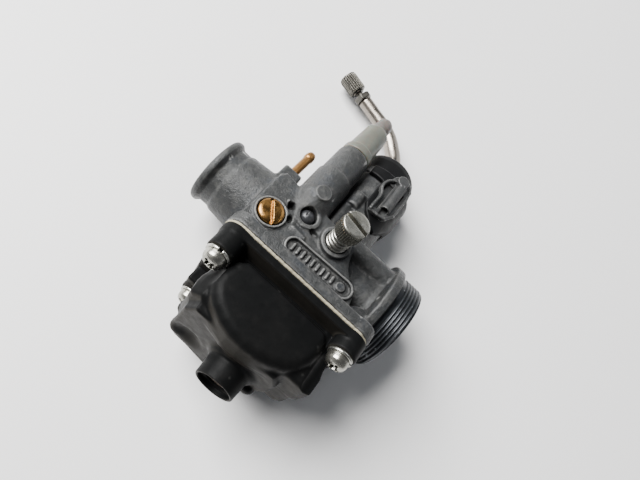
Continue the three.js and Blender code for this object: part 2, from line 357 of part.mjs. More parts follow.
// ---------------------------------------------------------------- fuel inlet
{
  const c = [FUEL.x, FUEL.y];
  add('banjo_washer_inner', ring('Z', c, 2.7, 4.3, -12.8, -12.1, 22), ZINC);
  let b = union(cyl('Z', c, 5.0, -16.6, -13.1, 24), rev('X', [FUEL.y, -14.85], [[0, -29.6], [1.9, -29.6], [2.3, -27.2], [1.75, -26.8], [1.75, -26.2],
    [2.3, -23.8], [1.75, -23.4], [1.75, -16], [0, -16]], 16));
  b = cut(b, cyl('Z', c, 2.75, -19, -12, 18), cyl('X', [FUEL.y, -14.85], 1.1, -31, -14, 12));
  add('fuel_inlet_banjo', b, PLASTIC);
  add('banjo_washer_outer', ring('Z', c, 2.7, 4.4, -17.6, -16.9, 22), ZINC);
  add('banjo_bolt', prism('Z', hexPts(4.2).map(([x, y]) => [x + c[0], y + c[1]]), -19.9, -17.9).add(cyl('Z', c, 2.45, -18.1, -9.6, 18)), BRASS);
}

// ------------------------------------------------------------ lay it down
frame.rotation.x = LEAN_DEG * Math.PI / 180;
frame.position.set(PLACE.x, PLACE.y, PLACE.z);
const group = new THREE.Group();
group.add(frame);
group.updateMatrixWorld(true);
export default group;
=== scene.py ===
import json
import math
import bpy
import numpy as np
from mathutils import Matrix, Vector

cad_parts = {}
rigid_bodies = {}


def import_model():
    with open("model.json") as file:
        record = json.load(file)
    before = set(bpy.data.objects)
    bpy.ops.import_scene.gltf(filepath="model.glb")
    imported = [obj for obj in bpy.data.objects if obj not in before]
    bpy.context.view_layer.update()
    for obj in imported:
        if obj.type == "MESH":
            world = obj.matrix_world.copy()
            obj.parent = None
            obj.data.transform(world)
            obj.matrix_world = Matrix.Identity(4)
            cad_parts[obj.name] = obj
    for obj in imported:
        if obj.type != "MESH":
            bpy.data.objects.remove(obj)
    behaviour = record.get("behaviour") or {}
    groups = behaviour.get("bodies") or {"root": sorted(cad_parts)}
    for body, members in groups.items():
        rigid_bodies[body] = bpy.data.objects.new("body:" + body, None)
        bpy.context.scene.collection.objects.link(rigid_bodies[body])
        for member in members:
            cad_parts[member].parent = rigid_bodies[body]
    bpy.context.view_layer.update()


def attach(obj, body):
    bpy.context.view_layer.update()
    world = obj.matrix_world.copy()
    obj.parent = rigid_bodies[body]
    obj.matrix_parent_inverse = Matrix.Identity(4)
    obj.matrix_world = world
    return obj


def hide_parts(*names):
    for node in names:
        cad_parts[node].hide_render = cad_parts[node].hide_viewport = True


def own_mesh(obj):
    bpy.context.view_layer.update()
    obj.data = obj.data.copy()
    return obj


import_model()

# ---------------------------------------------------------------- the frame
# Shapes are laid out about the crossing of throttle bore and slide, in mm,
# and go into the row's frame through this one matrix.
LEAN = math.radians(-10.47)
PLACE = Vector((6.45, -13.058, 19.763))
TURN = Matrix.Rotation(LEAN, 4, "X")
TM = Matrix.Scale(0.001, 4) @ Matrix.Translation(PLACE) @ TURN
TM_NP = np.array(TM)

SCREW_X, SCREW_Z = (-23.1, 19.8), (18.0, -18.0)
BOSS_END = {-23.1: -30.3, 19.8: -28.2}
CHOKE = (-14.4, 11.0)
IDLE = (-0.7, 0.3)
MIX = (-21.6, -7.0)
BALL = (-12.4, 1.0)
FUEL = (-14.0, -8.2)
TUBE_END = np.array([-27.4, 73.4, 0.0])
TUBE_DIR = np.array([-0.965, 0.262, 0.0]) / math.hypot(0.965, 0.262)


# ------------------------------------------------------- distance-field tools
def poly2(P, U, V):
    P = np.asarray(P, np.float32)
    shape = np.broadcast(U, V).shape
    d2 = np.full(shape, 1e9, np.float32)
    inside = np.zeros(shape, bool)
    for i in range(len(P)):
        a, b = P[i - 1], P[i]
        e = b - a
        L = float(e @ e)
        if L < 1e-12:
            continue
        wu, wv = U - a[0], V - a[1]
        t = np.clip((wu * e[0] + wv * e[1]) / L, 0, 1)
        d2 = np.minimum(d2, (wu - t * e[0]) ** 2 + (wv - t * e[1]) ** 2)
        if a[1] != b[1]:
            inside ^= ((a[1] > V) != (b[1] > V)) & (U < (b[0] - a[0]) * (V - a[1]) / (b[1] - a[1]) + a[0])
    return np.sqrt(d2) * np.where(inside, -1, 1).astype(np.float32)


def combine(q0, q1, rd):
    q0, q1 = q0 + rd, q1 + rd
    return np.minimum(np.maximum(q0, q1), 0) + np.sqrt(np.maximum(q0, 0) ** 2 + np.maximum(q1, 0) ** 2) - rd


def split(ax, X, Y, Z):
    return (X, Y, Z) if ax == "X" else (Y, X, Z) if ax == "Y" else (Z, X, Y)


def bounds_of(ax, c, r, a, b):
    lo, hi = [c[0] - r, c[1] - r], [c[0] + r, c[1] + r]
    i = "XYZ".index(ax)
    lo.insert(i, min(a, b))
    hi.insert(i, max(a, b))
    return lo, hi


def cyl(ax, c, r, a, b, rd=0.3, r2=None):
    """A round bar, or a cone where r2 is given."""
    m, h = (a + b) / 2, abs(b - a) / 2

    def fn(X, Y, Z):
        t, u, v = split(ax, X, Y, Z)
        rho = np.sqrt((u - c[0]) ** 2 + (v - c[1]) ** 2)
        rr = r if r2 is None else r + (r2 - r) * np.clip((t - a) / (b - a), 0, 1)
        return combine(rho - rr, np.abs(t - m) - h, rd)
    return (fn, *bounds_of(ax, c, max(r, r2 or 0), a, b))


def rev(ax, c, prof, rd=0.0):
    """A turned shape: prof is a closed outline of (distance along, radius)."""
    P = np.array(prof, float)
    a, b, r = P[:, 0].min(), P[:, 0].max(), P[:, 1].max()

    def fn(X, Y, Z):
        t, u, v = split(ax, X, Y, Z)
        rho = np.sqrt((u - c[0]) ** 2 + (v - c[1]) ** 2)
        tv = np.ravel(t)
        rg = np.arange(0, float(rho.max()) + 0.2, 0.08, dtype=np.float32)
        tab = poly2(P, tv[:, None].astype(np.float32), rg[None, :])
        f = rho / 0.08
        j = np.clip(f.astype(np.int32), 0, len(rg) - 2)
        w = f - j
        ti = np.arange(len(tv)).reshape(t.shape)
        return tab[ti, j] * (1 - w) + tab[ti, j + 1] * w - rd
    return (fn, *bounds_of(ax, c, r, a, b))


def prism(ax, pts, a, b, rd=0.3):
    """An outline in the two other axes, in order, between a and b."""
    P = np.array(pts, float)
    m, h = (a + b) / 2, abs(b - a) / 2

    def fn(X, Y, Z):
        t, u, v = split(ax, X, Y, Z)
        return combine(poly2(P, u, v), np.abs(t - m) - h, rd)
    lo, hi = list(P.min(0)), list(P.max(0))
    i = "XYZ".index(ax)
    lo.insert(i, a)
    hi.insert(i, b)
    return fn, lo, hi


def block(x0, x1, y0, y1, z0, z1, rd=0.3):
    def fn(X, Y, Z):
        qx = np.abs(X - (x0 + x1) / 2) - (x1 - x0) / 2 + rd
        qy = np.abs(Y - (y0 + y1) / 2) - (y1 - y0) / 2 + rd
        qz = np.abs(Z - (z0 + z1) / 2) - (z1 - z0) / 2 + rd
        return (np.minimum(np.maximum(np.maximum(qx, qy), qz), 0)
                + np.sqrt(np.maximum(qx, 0) ** 2 + np.maximum(qy, 0) ** 2 + np.maximum(qz, 0) ** 2) - rd)
    return fn, [x0, y0, z0], [x1, y1, z1]


def ball(c, r, squash=(1, 1, 1)):
    def fn(X, Y, Z):
        return (np.sqrt(((X - c[0]) / squash[0]) ** 2 + ((Y - c[1]) / squash[1]) ** 2 + ((Z - c[2]) / squash[2]) ** 2) - r) * min(squash)
    return fn, [c[i] - r * squash[i] for i in range(3)], [c[i] + r * squash[i] for i in range(3)]


def bar(p, q, r, r2=None):
    p, q = np.array(p, float), np.array(q, float)
    e = q - p
    L = float(e @ e)
    R = max(r, r2 or 0)

    def fn(X, Y, Z):
        t = np.clip(((X - p[0]) * e[0] + (Y - p[1]) * e[1] + (Z - p[2]) * e[2]) / L, 0, 1)
        rr = r if r2 is None else r + (r2 - r) * t
        return np.sqrt((X - p[0] - t * e[0]) ** 2 + (Y - p[1] - t * e[1]) ** 2 + (Z - p[2] - t * e[2]) ** 2) - rr
    return fn, list(np.minimum(p, q) - R), list(np.maximum(p, q) + R)


def turned(shape, c, ax, ang):
    """The shape turned by ang about an axis through c."""
    fn, lo, hi = shape
    ca, sa = math.cos(ang), math.sin(ang)
    i = "XYZ".index(ax)
    j, k = (i + 1) % 3, (i + 2) % 3

    def g(X, Y, Z):
        P = [X, Y, Z]
        u, v = P[j] - c[j], P[k] - c[k]
        Q = [None] * 3
        Q[i] = P[i] + 0 * u
        Q[j] = u * ca + v * sa + c[j]
        Q[k] = -u * sa + v * ca + c[k]
        return fn(*Q)
    mid = [(lo[n] + hi[n]) / 2 for n in range(3)]
    r = math.dist(lo, hi) / 2
    du, dv = mid[j] - c[j], mid[k] - c[k]
    mid[j], mid[k] = c[j] + du * ca - dv * sa, c[k] + du * sa + dv * ca
    return g, [mid[n] - r for n in range(3)], [mid[n] + r for n in range(3)]


def rounded(x0, x1, y0, y1, r, n=7):
    pts = []
    for cx, cy, s in ((x1 - r, y0 + r, -0.5), (x1 - r, y1 - r, 0), (x0 + r, y1 - r, 0.5), (x0 + r, y0 + r, 1)):
        for i in range(n + 1):
            w = math.pi * (s + 0.5 * i / n)
            pts.append((cx + r * math.cos(w), cy + r * math.sin(w)))
    return pts


class Field:
    def __init__(s, lo, hi, h):
        s.h, s.lo = h, np.array(lo, float)
        n = np.ceil((np.array(hi, float) - s.lo) / h).astype(int) + 1
        s.ax = [(s.lo[i] + h * np.arange(n[i])).astype(np.float32) for i in range(3)]
        s.F = np.full(tuple(n), 30, np.float32)

    def part(s, shape, k):
        fn, lo, hi = shape
        m = k + 2.5 * s.h + 0.3
        sl = []
        for i in range(3):
            a = max(int((lo[i] - m - s.lo[i]) / s.h), 0)
            b = min(int((hi[i] + m - s.lo[i]) / s.h) + 2, s.F.shape[i])
            if b - a < 1:
                return None, None
            sl.append(slice(a, b))
        sl = tuple(sl)
        X, Y, Z = s.ax[0][sl[0]][:, None, None], s.ax[1][sl[1]][None, :, None], s.ax[2][sl[2]][None, None, :]
        d = np.broadcast_to(fn(X, Y, Z), s.F[sl].shape).astype(np.float32)
        return sl, d

    @staticmethod
    def smin(a, b, k):
        if k <= 0:
            return np.minimum(a, b)
        w = np.clip(0.5 + 0.5 * (b - a) / k, 0, 1)
        return b * (1 - w) + a * w - k * w * (1 - w)

    def add(s, shape, k=0.8):
        sl, d = s.part(shape, k)
        if sl:
            s.F[sl] = s.smin(s.F[sl], d, k)
        return s

    def cut(s, shape, k=0.25):
        sl, d = s.part(shape, k)
        if sl:
            s.F[sl] = -s.smin(-s.F[sl], d, k)
        return s

    def keep(s, shape, k=0.2):
        fn, lo, hi = shape
        X, Y, Z = s.ax[0][:, None, None], s.ax[1][None, :, None], s.ax[2][None, None, :]
        s.F = -s.smin(-s.F, -np.broadcast_to(fn(X, Y, Z), s.F.shape).astype(np.float32), k)
        return s

    def mesh(s):
        F = s.F.copy()
        for i in range(3):
            e = [slice(None)] * 3
            for q in (0, -1):
                e[i] = q
                F[tuple(e)] = np.maximum(F[tuple(e)], 0.5 * s.h)
        ins = F < 0
        c = ins.astype(np.uint8)
        tot = sum(c[i:c.shape[0] - 1 + i, j:c.shape[1] - 1 + j, k:c.shape[2] - 1 + k]
                  for i in (0, 1) for j in (0, 1) for k in (0, 1))
        mixed = (tot > 0) & (tot < 8)
        idx = np.argwhere(mixed)
        ids = np.full(mixed.shape, -1, np.int32)
        ids[mixed] = np.arange(len(idx), dtype=np.int32)
        acc, cnt = np.zeros((len(idx), 3)), np.zeros(len(idx))
        for axis in range(3):
            o = [n for n in range(3) if n != axis]
            for a in (0, 1):
                for b in (0, 1):
                    p = np.zeros(3, int)
                    p[o[0]], p[o[1]] = a, b
                    q = p.copy()
                    q[axis] = 1
                    fa, fb = F[tuple((idx + p).T)], F[tuple((idx + q).T)]
                    m = (fa < 0) != (fb < 0)
                    t = fa[m] / (fa[m] - fb[m])
                    acc[m] += p + t[:, None] * (q - p)
                    cnt[m] += 1
        V = s.lo + s.h * (idx + acc / cnt[:, None])
        quads = []
        for axis in range(3):
            u, v = (axis + 1) % 3, (axis + 2) % 3
            a = [slice(None)] * 3
            b = [slice(None)] * 3
            a[axis], b[axis] = slice(None, -1), slice(1, None)
            A, B = ins[tuple(a)], ins[tuple(b)]
            e = np.argwhere(A != B)
            e = e[(e[:, u] > 0) & (e[:, v] > 0) & (e[:, u] < ins.shape[u] - 1) & (e[:, v] < ins.shape[v] - 1)]
            out = A[tuple(e.T)]
            du, dv = np.zeros(3, int), np.zeros(3, int)
            du[u], dv[v] = 1, 1
            Q = np.stack([ids[tuple((e - du - dv).T)], ids[tuple((e - dv).T)], ids[tuple(e.T)], ids[tuple((e - du).T)]], 1)
            Q[~out] = Q[~out][:, ::-1]
            quads.append(Q)
        return V, np.concatenate(quads)


# ------------------------------------------------------------- making pieces
def new_mesh(name, V, Q):
    V = np.asarray(V, float)
    W = V @ TM_NP[:3, :3].T + TM_NP[:3, 3]
    me = bpy.data.meshes.new(name)
    Q = np.asarray(Q)
    n, k = Q.shape
    me.vertices.add(len(W))
    me.vertices.foreach_set("co", W.astype(np.float32).ravel())
    me.loops.add(n * k)
    me.loops.foreach_set("vertex_index", Q.ravel().astype(np.int32))
    me.polygons.add(n)
    me.polygons.foreach_set("loop_start", np.arange(0, n * k, k, dtype=np.int32))
    me.update(calc_edges=True)
    me.validate()
    me.polygons.foreach_set("use_smooth", np.ones(len(me.polygons), bool))
    return me


def piece(name, VQ, material, body, nodes=(), faces=None, rotate=None):
    V, Q = VQ
    me = new_mesh(name, V, Q)
    ob = bpy.data.objects.new(name, me)
    bpy.context.scene.collection.objects.link(ob)
    if faces and len(me.polygons) * (2 if Q.shape[1] == 4 else 1) > faces:
        d = ob.modifiers.new("thin", "DECIMATE")
        d.ratio = faces / (len(me.polygons) * 2)
        wn = ob.modifiers.new("flat", "WEIGHTED_NORMAL")
        wn.weight = 60
        dg = bpy.context.evaluated_depsgraph_get()
        me2 = bpy.data.meshes.new_from_object(ob.evaluated_get(dg))
        ob.modifiers.clear()
        ob.data = me2
        me2.name = name
        bpy.data.meshes.remove(me)
        me2.polygons.foreach_set("use_smooth", np.ones(len(me2.polygons), bool))
    ob.data.materials.clear()
    ob.data.materials.append(material)
    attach(ob, body)
    if nodes:
        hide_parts(*nodes)
    return ob


def sweep(points, radius, sides=16, squeeze=None):
    """A closed tube along points; radius is a number or one per point."""
    P = np.asarray(points, float)
    n = len(P)
    T = np.gradient(P, axis=0)
    T /= np.linalg.norm(T, axis=1, keepdims=True)
    r = np.full(n, radius) if np.isscalar(radius) else np.asarray(radius)
    N = np.cross(T[0], [0.3, 0.2, 1.0])
    N /= np.linalg.norm(N)
    V, Q = [], []
    w = 2 * np.pi * np.arange(sides) / sides
    for i in range(n):
        N = N - T[i] * (N @ T[i])
        N /= np.linalg.norm(N)
        B = np.cross(T[i], N)
        V.append(P[i] + r[i] * (np.cos(w)[:, None] * N + np.sin(w)[:, None] * B))
    V = np.concatenate(V)
    j = np.arange(sides)
    for i in range(n - 1):
        a, b = i * sides, (i + 1) * sides
        Q.append(np.stack([a + j, a + (j + 1) % sides, b + (j + 1) % sides, b + j], 1))
    c0, c1 = len(V), len(V) + 1
    V = np.vstack([V, P[0] - T[0] * 0.01, P[-1] + T[-1] * 0.01])
    # end caps as thin quads around a centre, two sides at a time
    k = np.arange(0, sides, 2)
    Q.append(np.stack([np.full(len(k), c0), (k + 2) % sides, k + 1, k], 1))
    e = (n - 1) * sides
    Q.append(np.stack([np.full(len(k), c1), e + k, e + k + 1, e + (k + 2) % sides], 1))
    return V, np.concatenate(Q)


def coil(ax, c, r, a, b, turns, wire, per=28, sides=12, flat=0.5):
    """A compression spring with its end turns closed up."""
    n = int(turns * per) + 1
    t = np.linspace(0, 1, n)
    w = 2 * np.pi * turns * t
    ends = flat / turns
    s = np.clip((t - ends) / (1 - 2 * ends), 0, 1)
    s = s * 0.94 + 0.06 * t
    h = a + (b - a) * s
    u, v = c[0] + r * np.cos(w), c[1] + r * np.sin(w)
    if ax == "Y":
        P = np.stack([u, h, v], 1)
    elif ax == "Z":
        P = np.stack([u, v, h], 1)
    else:
        P = np.stack([h, u, v], 1)
    return sweep(P, wire, sides)


def spline(points, n):
    P = np.asarray(points, float)
    d = np.sqrt(np.linalg.norm(np.diff(P, axis=0), axis=1))
    k = np.concatenate([[0], np.cumsum(d)])
    Pe = np.vstack([2 * P[0] - P[1], P, 2 * P[-1] - P[-2]])
    ke = np.concatenate([[-d[0]], k, [k[-1] + d[-1]]])
    out = []
    for t in np.linspace(0, k[-1], n):
        i = min(max(int(np.searchsorted(k, t)) - 1, 0), len(P) - 2)
        p, q = Pe[i:i + 4], ke[i:i + 4]
        a1 = (q[1] - t) / (q[1] - q[0]) * p[0] + (t - q[0]) / (q[1] - q[0]) * p[1]
        a2 = (q[2] - t) / (q[2] - q[1]) * p[1] + (t - q[1]) / (q[2] - q[1]) * p[2]
        a3 = (q[3] - t) / (q[3] - q[2]) * p[2] + (t - q[2]) / (q[3] - q[2]) * p[3]
        b1 = (q[2] - t) / (q[2] - q[0]) * a1 + (t - q[0]) / (q[2] - q[0]) * a2
        b2 = (q[3] - t) / (q[3] - q[1]) * a2 + (t - q[1]) / (q[3] - q[1]) * a3
        out.append((q[2] - t) / (q[2] - q[1]) * b1 + (t - q[1]) / (q[2] - q[1]) * b2)
    return np.array(out)


# ----------------------------------------------------------------- materials
def material(name, color, rough=0.5, metal=0.0, spots=(), grain=(0, 0), wear=None, coat=0.0, extra=None, rough_var=0.1, brushed=None, hollow_shade_and_grime=None, sheen_and_dust=None, fade=None):
    """A procedural surface. spots: (scale, strength, colour) stains; grain:
    (scale, height) bumps; wear: colour that shows on edges."""
    m = bpy.data.materials.new(name)
    m.use_nodes = True
    nt = m.node_tree
    N, L = nt.nodes, nt.links
    b = N["Principled BSDF"]
    b.inputs["Metallic"].default_value = metal
    b.inputs["Roughness"].default_value = rough
    if coat:
        b.inputs["Coat Weight"].default_value = coat
        b.inputs["Coat Roughness"].default_value = 0.25
    for k, v in (extra or {}).items():
        b.inputs[k].default_value = v
    tc = N.new("ShaderNodeTexCoord")
    vec = tc.outputs["Object"]

    def noise(scale, detail=4, rgh=0.55, stretch=None):
        n = N.new("ShaderNodeTexNoise")
        n.inputs["Scale"].default_value = scale
        n.inputs["Detail"].default_value = detail
        n.inputs["Roughness"].default_value = rgh
        src = vec
        if stretch:
            mp = N.new("ShaderNodeMapping")
            mp.inputs["Scale"].default_value = stretch
            L.new(vec, mp.inputs["Vector"])
            src = mp.outputs["Vector"]
        L.new(src, n.inputs["Vector"])
        return n.outputs["Fac"]

    def ramp(src, lo, hi, c0=(0, 0, 0, 1), c1=(1, 1, 1, 1)):
        r = N.new("ShaderNodeValToRGB")
        r.color_ramp.elements[0].position, r.color_ramp.elements[1].position = lo, hi
        r.color_ramp.elements[0].color, r.color_ramp.elements[1].color = c0, c1
        L.new(src, r.inputs["Fac"])
        return r.outputs["Color"]

    def mix(a, c, fac, kind="MIX"):
        x = N.new("ShaderNodeMix")
        x.data_type = "RGBA"
        x.blend_type = kind
        for s, v in ((6, a), (7, c)):
            if isinstance(v, tuple):
                x.inputs[s].default_value = (*v[:3], 1)
            else:
                L.new(v, x.inputs[s])
        if isinstance(fac, float):
            x.inputs[0].default_value = fac
        else:
            L.new(fac, x.inputs[0])
        return x.outputs[2]

    col = mix(tuple(0.86 * v for v in color), tuple(min(1, 1.12 * v) for v in color), ramp(noise(220, 5), 0.3, 0.7))
    for sc, st, sc_col in spots:
        f = ramp(noise(sc, 6, 0.62), 0.52, 0.72, (0, 0, 0, 1), (st, st, st, 1))
        col = mix(col, sc_col, f)
    if wear or hollow_shade_and_grime:
        g = N.new("ShaderNodeNewGeometry")
        # painted shade and grime: concave places (low pointiness) are darkened towards the given colour
        if hollow_shade_and_grime:
            f = ramp(g.outputs["Pointiness"], 0.40, 0.495, (hollow_shade_and_grime[1],) * 3 + (1,), (0, 0, 0, 1))
            col = mix(col, hollow_shade_and_grime[0], f)
        if wear:
            f = ramp(g.outputs["Pointiness"], 0.515, 0.62, (0, 0, 0, 1), (wear[1],) * 3 + (1,))
            col = mix(col, wear[0], f)
    # painted shade: the colour darkens along object X towards +X, where the inlet neck lies
    if fade:
        sp = N.new("ShaderNodeSeparateXYZ")
        L.new(vec, sp.inputs[0])
        mf = N.new("ShaderNodeMapRange")
        L.new(sp.outputs["X"], mf.inputs["Value"])
        mf.inputs["From Min"].default_value, mf.inputs["From Max"].default_value = fade[0], fade[1]
        mf.inputs["To Min"].default_value, mf.inputs["To Max"].default_value = 0.0, fade[2]
        col = mix(col, (0.010, 0.0105, 0.011), mf.outputs["Result"])
    # painted sheen and dust: faces turned towards the given direction are lightened to a brown-grey, broken up by
    # noise
    if sheen_and_dust:
        g2 = N.new("ShaderNodeNewGeometry")
        dp = N.new("ShaderNodeVectorMath")
        dp.operation = "DOT_PRODUCT"
        L.new(g2.outputs["Normal"], dp.inputs[0])
        dp.inputs[1].default_value = sheen_and_dust[0]
        f = ramp(dp.outputs["Value"], 0.62, 0.99, (0, 0, 0, 1), (sheen_and_dust[2],) * 3 + (1,))
        f = mix((0, 0, 0), f, ramp(noise(90, 5, 0.6), 0.25, 0.6, (0.55, 0.55, 0.55, 1), (1, 1, 1, 1)))
        col = mix(col, sheen_and_dust[1], f)
    L.new(col, b.inputs["Base Color"])
    mr = N.new("ShaderNodeMapRange")
    L.new(noise(420, 4), mr.inputs["Value"])
    mr.inputs["From Min"].default_value, mr.inputs["From Max"].default_value = 0.3, 0.7
    mr.inputs["To Min"].default_value, mr.inputs["To Max"].default_value = max(rough - rough_var, 0.03), min(rough + rough_var, 1)
    L.new(mr.outputs["Result"], b.inputs["Roughness"])
    prev = None
    bumps = [(grain[0], grain[1], None)] if grain[1] else []
    if len(grain) > 2:
        bumps.append((grain[2], grain[3], None))
    if brushed:
        bumps.append((brushed[0], brushed[1], brushed[2]))
    for sc, ht, st in bumps:
        bp = N.new("ShaderNodeBump")
        bp.inputs["Distance"].default_value = ht * 0.001
        bp.inputs["Strength"].default_value = 1.0
        L.new(noise(sc, 5, 0.6, st), bp.inputs["Height"])
        if prev:
            L.new(prev, bp.inputs["Normal"])
        prev = bp.outputs["Normal"]
    if prev:
        L.new(prev, b.inputs["Normal"])
    return m


# the casting's colour carries painted shade in its hollows and towards the inlet neck
CAST = material("cast_alloy", (0.0350, 0.0363, 0.0363), 0.44, 0.38, fade=(0.0, 0.024, 0.26), spots=((60, 0.7, (0.021, 0.021, 0.020)), (190, 0.55, (0.034, 0.040, 0.050)), (420, 0.55, (0.105, 0.104, 0.098))),
                grain=(2400, 0.20, 560, 0.34), wear=((0.30, 0.30, 0.29), 0.95), hollow_shade_and_grime=((0.008, 0.007, 0.0055), 1.0), rough_var=0.15)
CLAMPM = material("clamp_alloy", (0.036, 0.037, 0.037), 0.44, 0.35, spots=((120, 0.6, (0.022, 0.022, 0.022)), (420, 0.5, (0.085, 0.084, 0.080))),
                  grain=(2400, 0.12, 560, 0.2), wear=((0.26, 0.26, 0.25), 0.8), hollow_shade_and_grime=((0.010, 0.009, 0.007), 0.9), rough_var=0.12)
THREAD = material("machined_alloy", (0.011, 0.0125, 0.015), 0.34, 0.75, spots=((120, 0.6, (0.019, 0.021, 0.024)),), grain=(1500, 0.03),
                  wear=((0.22, 0.235, 0.25), 0.85), hollow_shade_and_grime=((0.005, 0.005, 0.005), 0.95))
PLASTIC = material("bowl_plastic", (0.0042, 0.0044, 0.0045), 0.44, 0.0, spots=((70, 0.4, (0.0085, 0.0083, 0.008)), (260, 0.25, (0.012, 0.0115, 0.011))), grain=(1700, 0.03, 240, 0.02),
                   wear=((0.024, 0.024, 0.023), 0.5), rough_var=0.08, sheen_and_dust=((-0.25, -0.96, -0.10), (0.033, 0.030, 0.0255), 0.85), extra={"Specular IOR Level": 0.05})
COVERP = material("cover_plastic", (0.0036, 0.0037, 0.0040), 0.48, 0.0, spots=((110, 0.4, (0.011, 0.0107, 0.010)),), grain=(1900, 0.04, 300, 0.04),
                  wear=((0.026, 0.026, 0.026), 0.4), rough_var=0.1, extra={"Specular IOR Level": 0.12})
PAPER = material("gasket_fibre", (0.33, 0.30, 0.215), 0.85, 0.0, spots=((260, 0.6, (0.16, 0.13, 0.08)),), grain=(3000, 0.05))
ZINC = material("zinc_plate", (0.36, 0.352, 0.312), 0.25, 0.95, spots=((240, 0.5, (0.20, 0.185, 0.14)),), grain=(1800, 0.02), wear=((0.80, 0.80, 0.76), 0.5),
                hollow_shade_and_grime=((0.04, 0.034, 0.024), 0.85), rough_var=0.09)
BRASS = material("brass", (0.36, 0.195, 0.062), 0.27, 1.0, spots=((300, 0.75, (0.18, 0.075, 0.016)),), grain=(1500, 0.03), wear=((0.70, 0.46, 0.17), 0.22),
                 hollow_shade_and_grime=((0.03, 0.014, 0.004), 1.0), rough_var=0.09)
COPPERY = material("nipple_brass", (0.32, 0.165, 0.055), 0.36, 0.85, spots=((300, 0.6, (0.20, 0.10, 0.035)),), grain=(1500, 0.04), rough_var=0.08)
NUTM = material("nut_nickel", (0.150, 0.143, 0.128), 0.30, 1.0, spots=((200, 0.55, (0.12, 0.11, 0.095)),), grain=(1300, 0.02), wear=((0.55, 0.54, 0.50), 0.6), hollow_shade_and_grime=((0.03, 0.027, 0.02), 0.85), rough_var=0.08)
DARKNICKEL = material("aged_nickel", (0.074, 0.070, 0.061), 0.30, 1.0, spots=((200, 0.55, (0.12, 0.11, 0.095)),), grain=(1300, 0.02), wear=((0.55, 0.54, 0.50), 0.6), hollow_shade_and_grime=((0.03, 0.027, 0.02), 0.85), rough_var=0.08)
NICKEL = material("nickel_plate", (0.33, 0.295, 0.255), 0.31, 1.0, spots=((200, 0.55, (0.22, 0.19, 0.155)),), grain=(1300, 0.015), hollow_shade_and_grime=((0.05, 0.042, 0.033), 0.8), rough_var=0.08)
BOOT = material("boot_rubber", (0.108, 0.110, 0.090), 0.42, 0.0, spots=((160, 0.55, (0.165, 0.168, 0.140)),), grain=(900, 0.04), rough_var=0.08,
                extra={"Subsurface Weight": 0.30, "Subsurface Scale": 0.002, "Transmission Weight": 0.10, "Specular IOR Level": 0.5})
NUB = material("nub_rubber", (0.098, 0.087, 0.077), 0.40, 0.0, spots=((260, 0.4, (0.25, 0.22, 0.20)),), grain=(1200, 0.03), extra={"Subsurface Weight": 0.3, "Subsurface Scale": 0.002})
BLACKR = material("black_rubber", (0.010, 0.010, 0.010), 0.55, 0.0, grain=(1500, 0.03), extra={"Specular IOR Level": 0.25})
STEEL = material("plain_steel", (0.36, 0.365, 0.37), 0.30, 1.0, spots=((200, 0.5, (0.18, 0.18, 0.18)),), grain=(1500, 0.02), rough_var=0.1)
# the plug's steel is painted near black to stand in for the shade inside its socket, with brown spots
SHADED_PLUG_STEEL = material("plug_steel_painted_dark", (0.045, 0.030, 0.020), 0.42, 0.6, spots=((500, 0.8, (0.11, 0.065, 0.04)),), grain=(1900, 0.12), rough_var=0.1)
DARKBALL = material("ball_plug", (0.030, 0.031, 0.034), 0.36, 0.4, spots=((240, 0.5, (0.06, 0.06, 0.06)),), grain=(1600, 0.05), wear=((0.12, 0.12, 0.12), 0.5))
SLIDEM = material("slide_plate", (0.42, 0.43, 0.44), 0.24, 1.0, spots=((160, 0.4, (0.25, 0.25, 0.25)),), grain=(900, 0.01), brushed=(300, 0.02, (1, 6, 1)))
FLOATM = material("float_body", (0.02, 0.02, 0.019), 0.6, 0.0, grain=(2500, 0.05))
INLETP = material("inlet_plastic", (0.010, 0.010, 0.011), 0.42, 0.0, spots=((120, 0.4, (0.02, 0.019, 0.018)),), grain=(1700, 0.03), extra={"Specular IOR Level": 0.3})

BY_NODE = {
    "carburetor_body": CAST, "cover_clamp": CLAMPM, "vent_nipple": COPPERY, "passage_plug": DARKBALL, "bowl_gasket": PAPER, "float_bowl": PLASTIC,
    "main_jet_plug": STEEL, "plug_o_ring": BLACKR, "needle_jet": BRASS, "main_jet": BRASS, "idle_jet": BRASS, "float_needle_seat": BRASS,
    "float_needle": BRASS, "float_pin": STEEL, "float": FLOATM, "throttle_slide": SLIDEM, "jet_needle": BRASS, "needle_clip": STEEL,
    "spring_retainer": COVERP, "slide_return_spring": STEEL, "slide_cover": COVERP, "cover_gasket": BLACKR, "cable_elbow": NICKEL,
    "adjuster_lock_nut": NUTM, "cable_adjuster": DARKNICKEL, "choke_plunger": BRASS, "choke_spring": STEEL, "choke_cap": ZINC, "choke_boot": BOOT,
    "idle_speed_screw": ZINC, "idle_speed_spring": ZINC, "mixture_screw": BRASS, "mixture_spring": STEEL, "banjo_washer_inner": ZINC,
    "fuel_inlet_banjo": INLETP, "banjo_washer_outer": ZINC, "banjo_bolt": BRASS,
}
for n in ("far_left", "far_right", "near_left", "near_right"):
    BY_NODE["bowl_screw_" + n] = ZINC
    BY_NODE["bowl_lock_washer_" + n] = ZINC
for n, m in BY_NODE.items():
    ob = bpy.data.objects[n]
    if not ob.material_slots:
        ob.data.materials.append(m)
    for s in ob.material_slots:
        s.material = m

ROOT = "carburetor"
H = 0.36


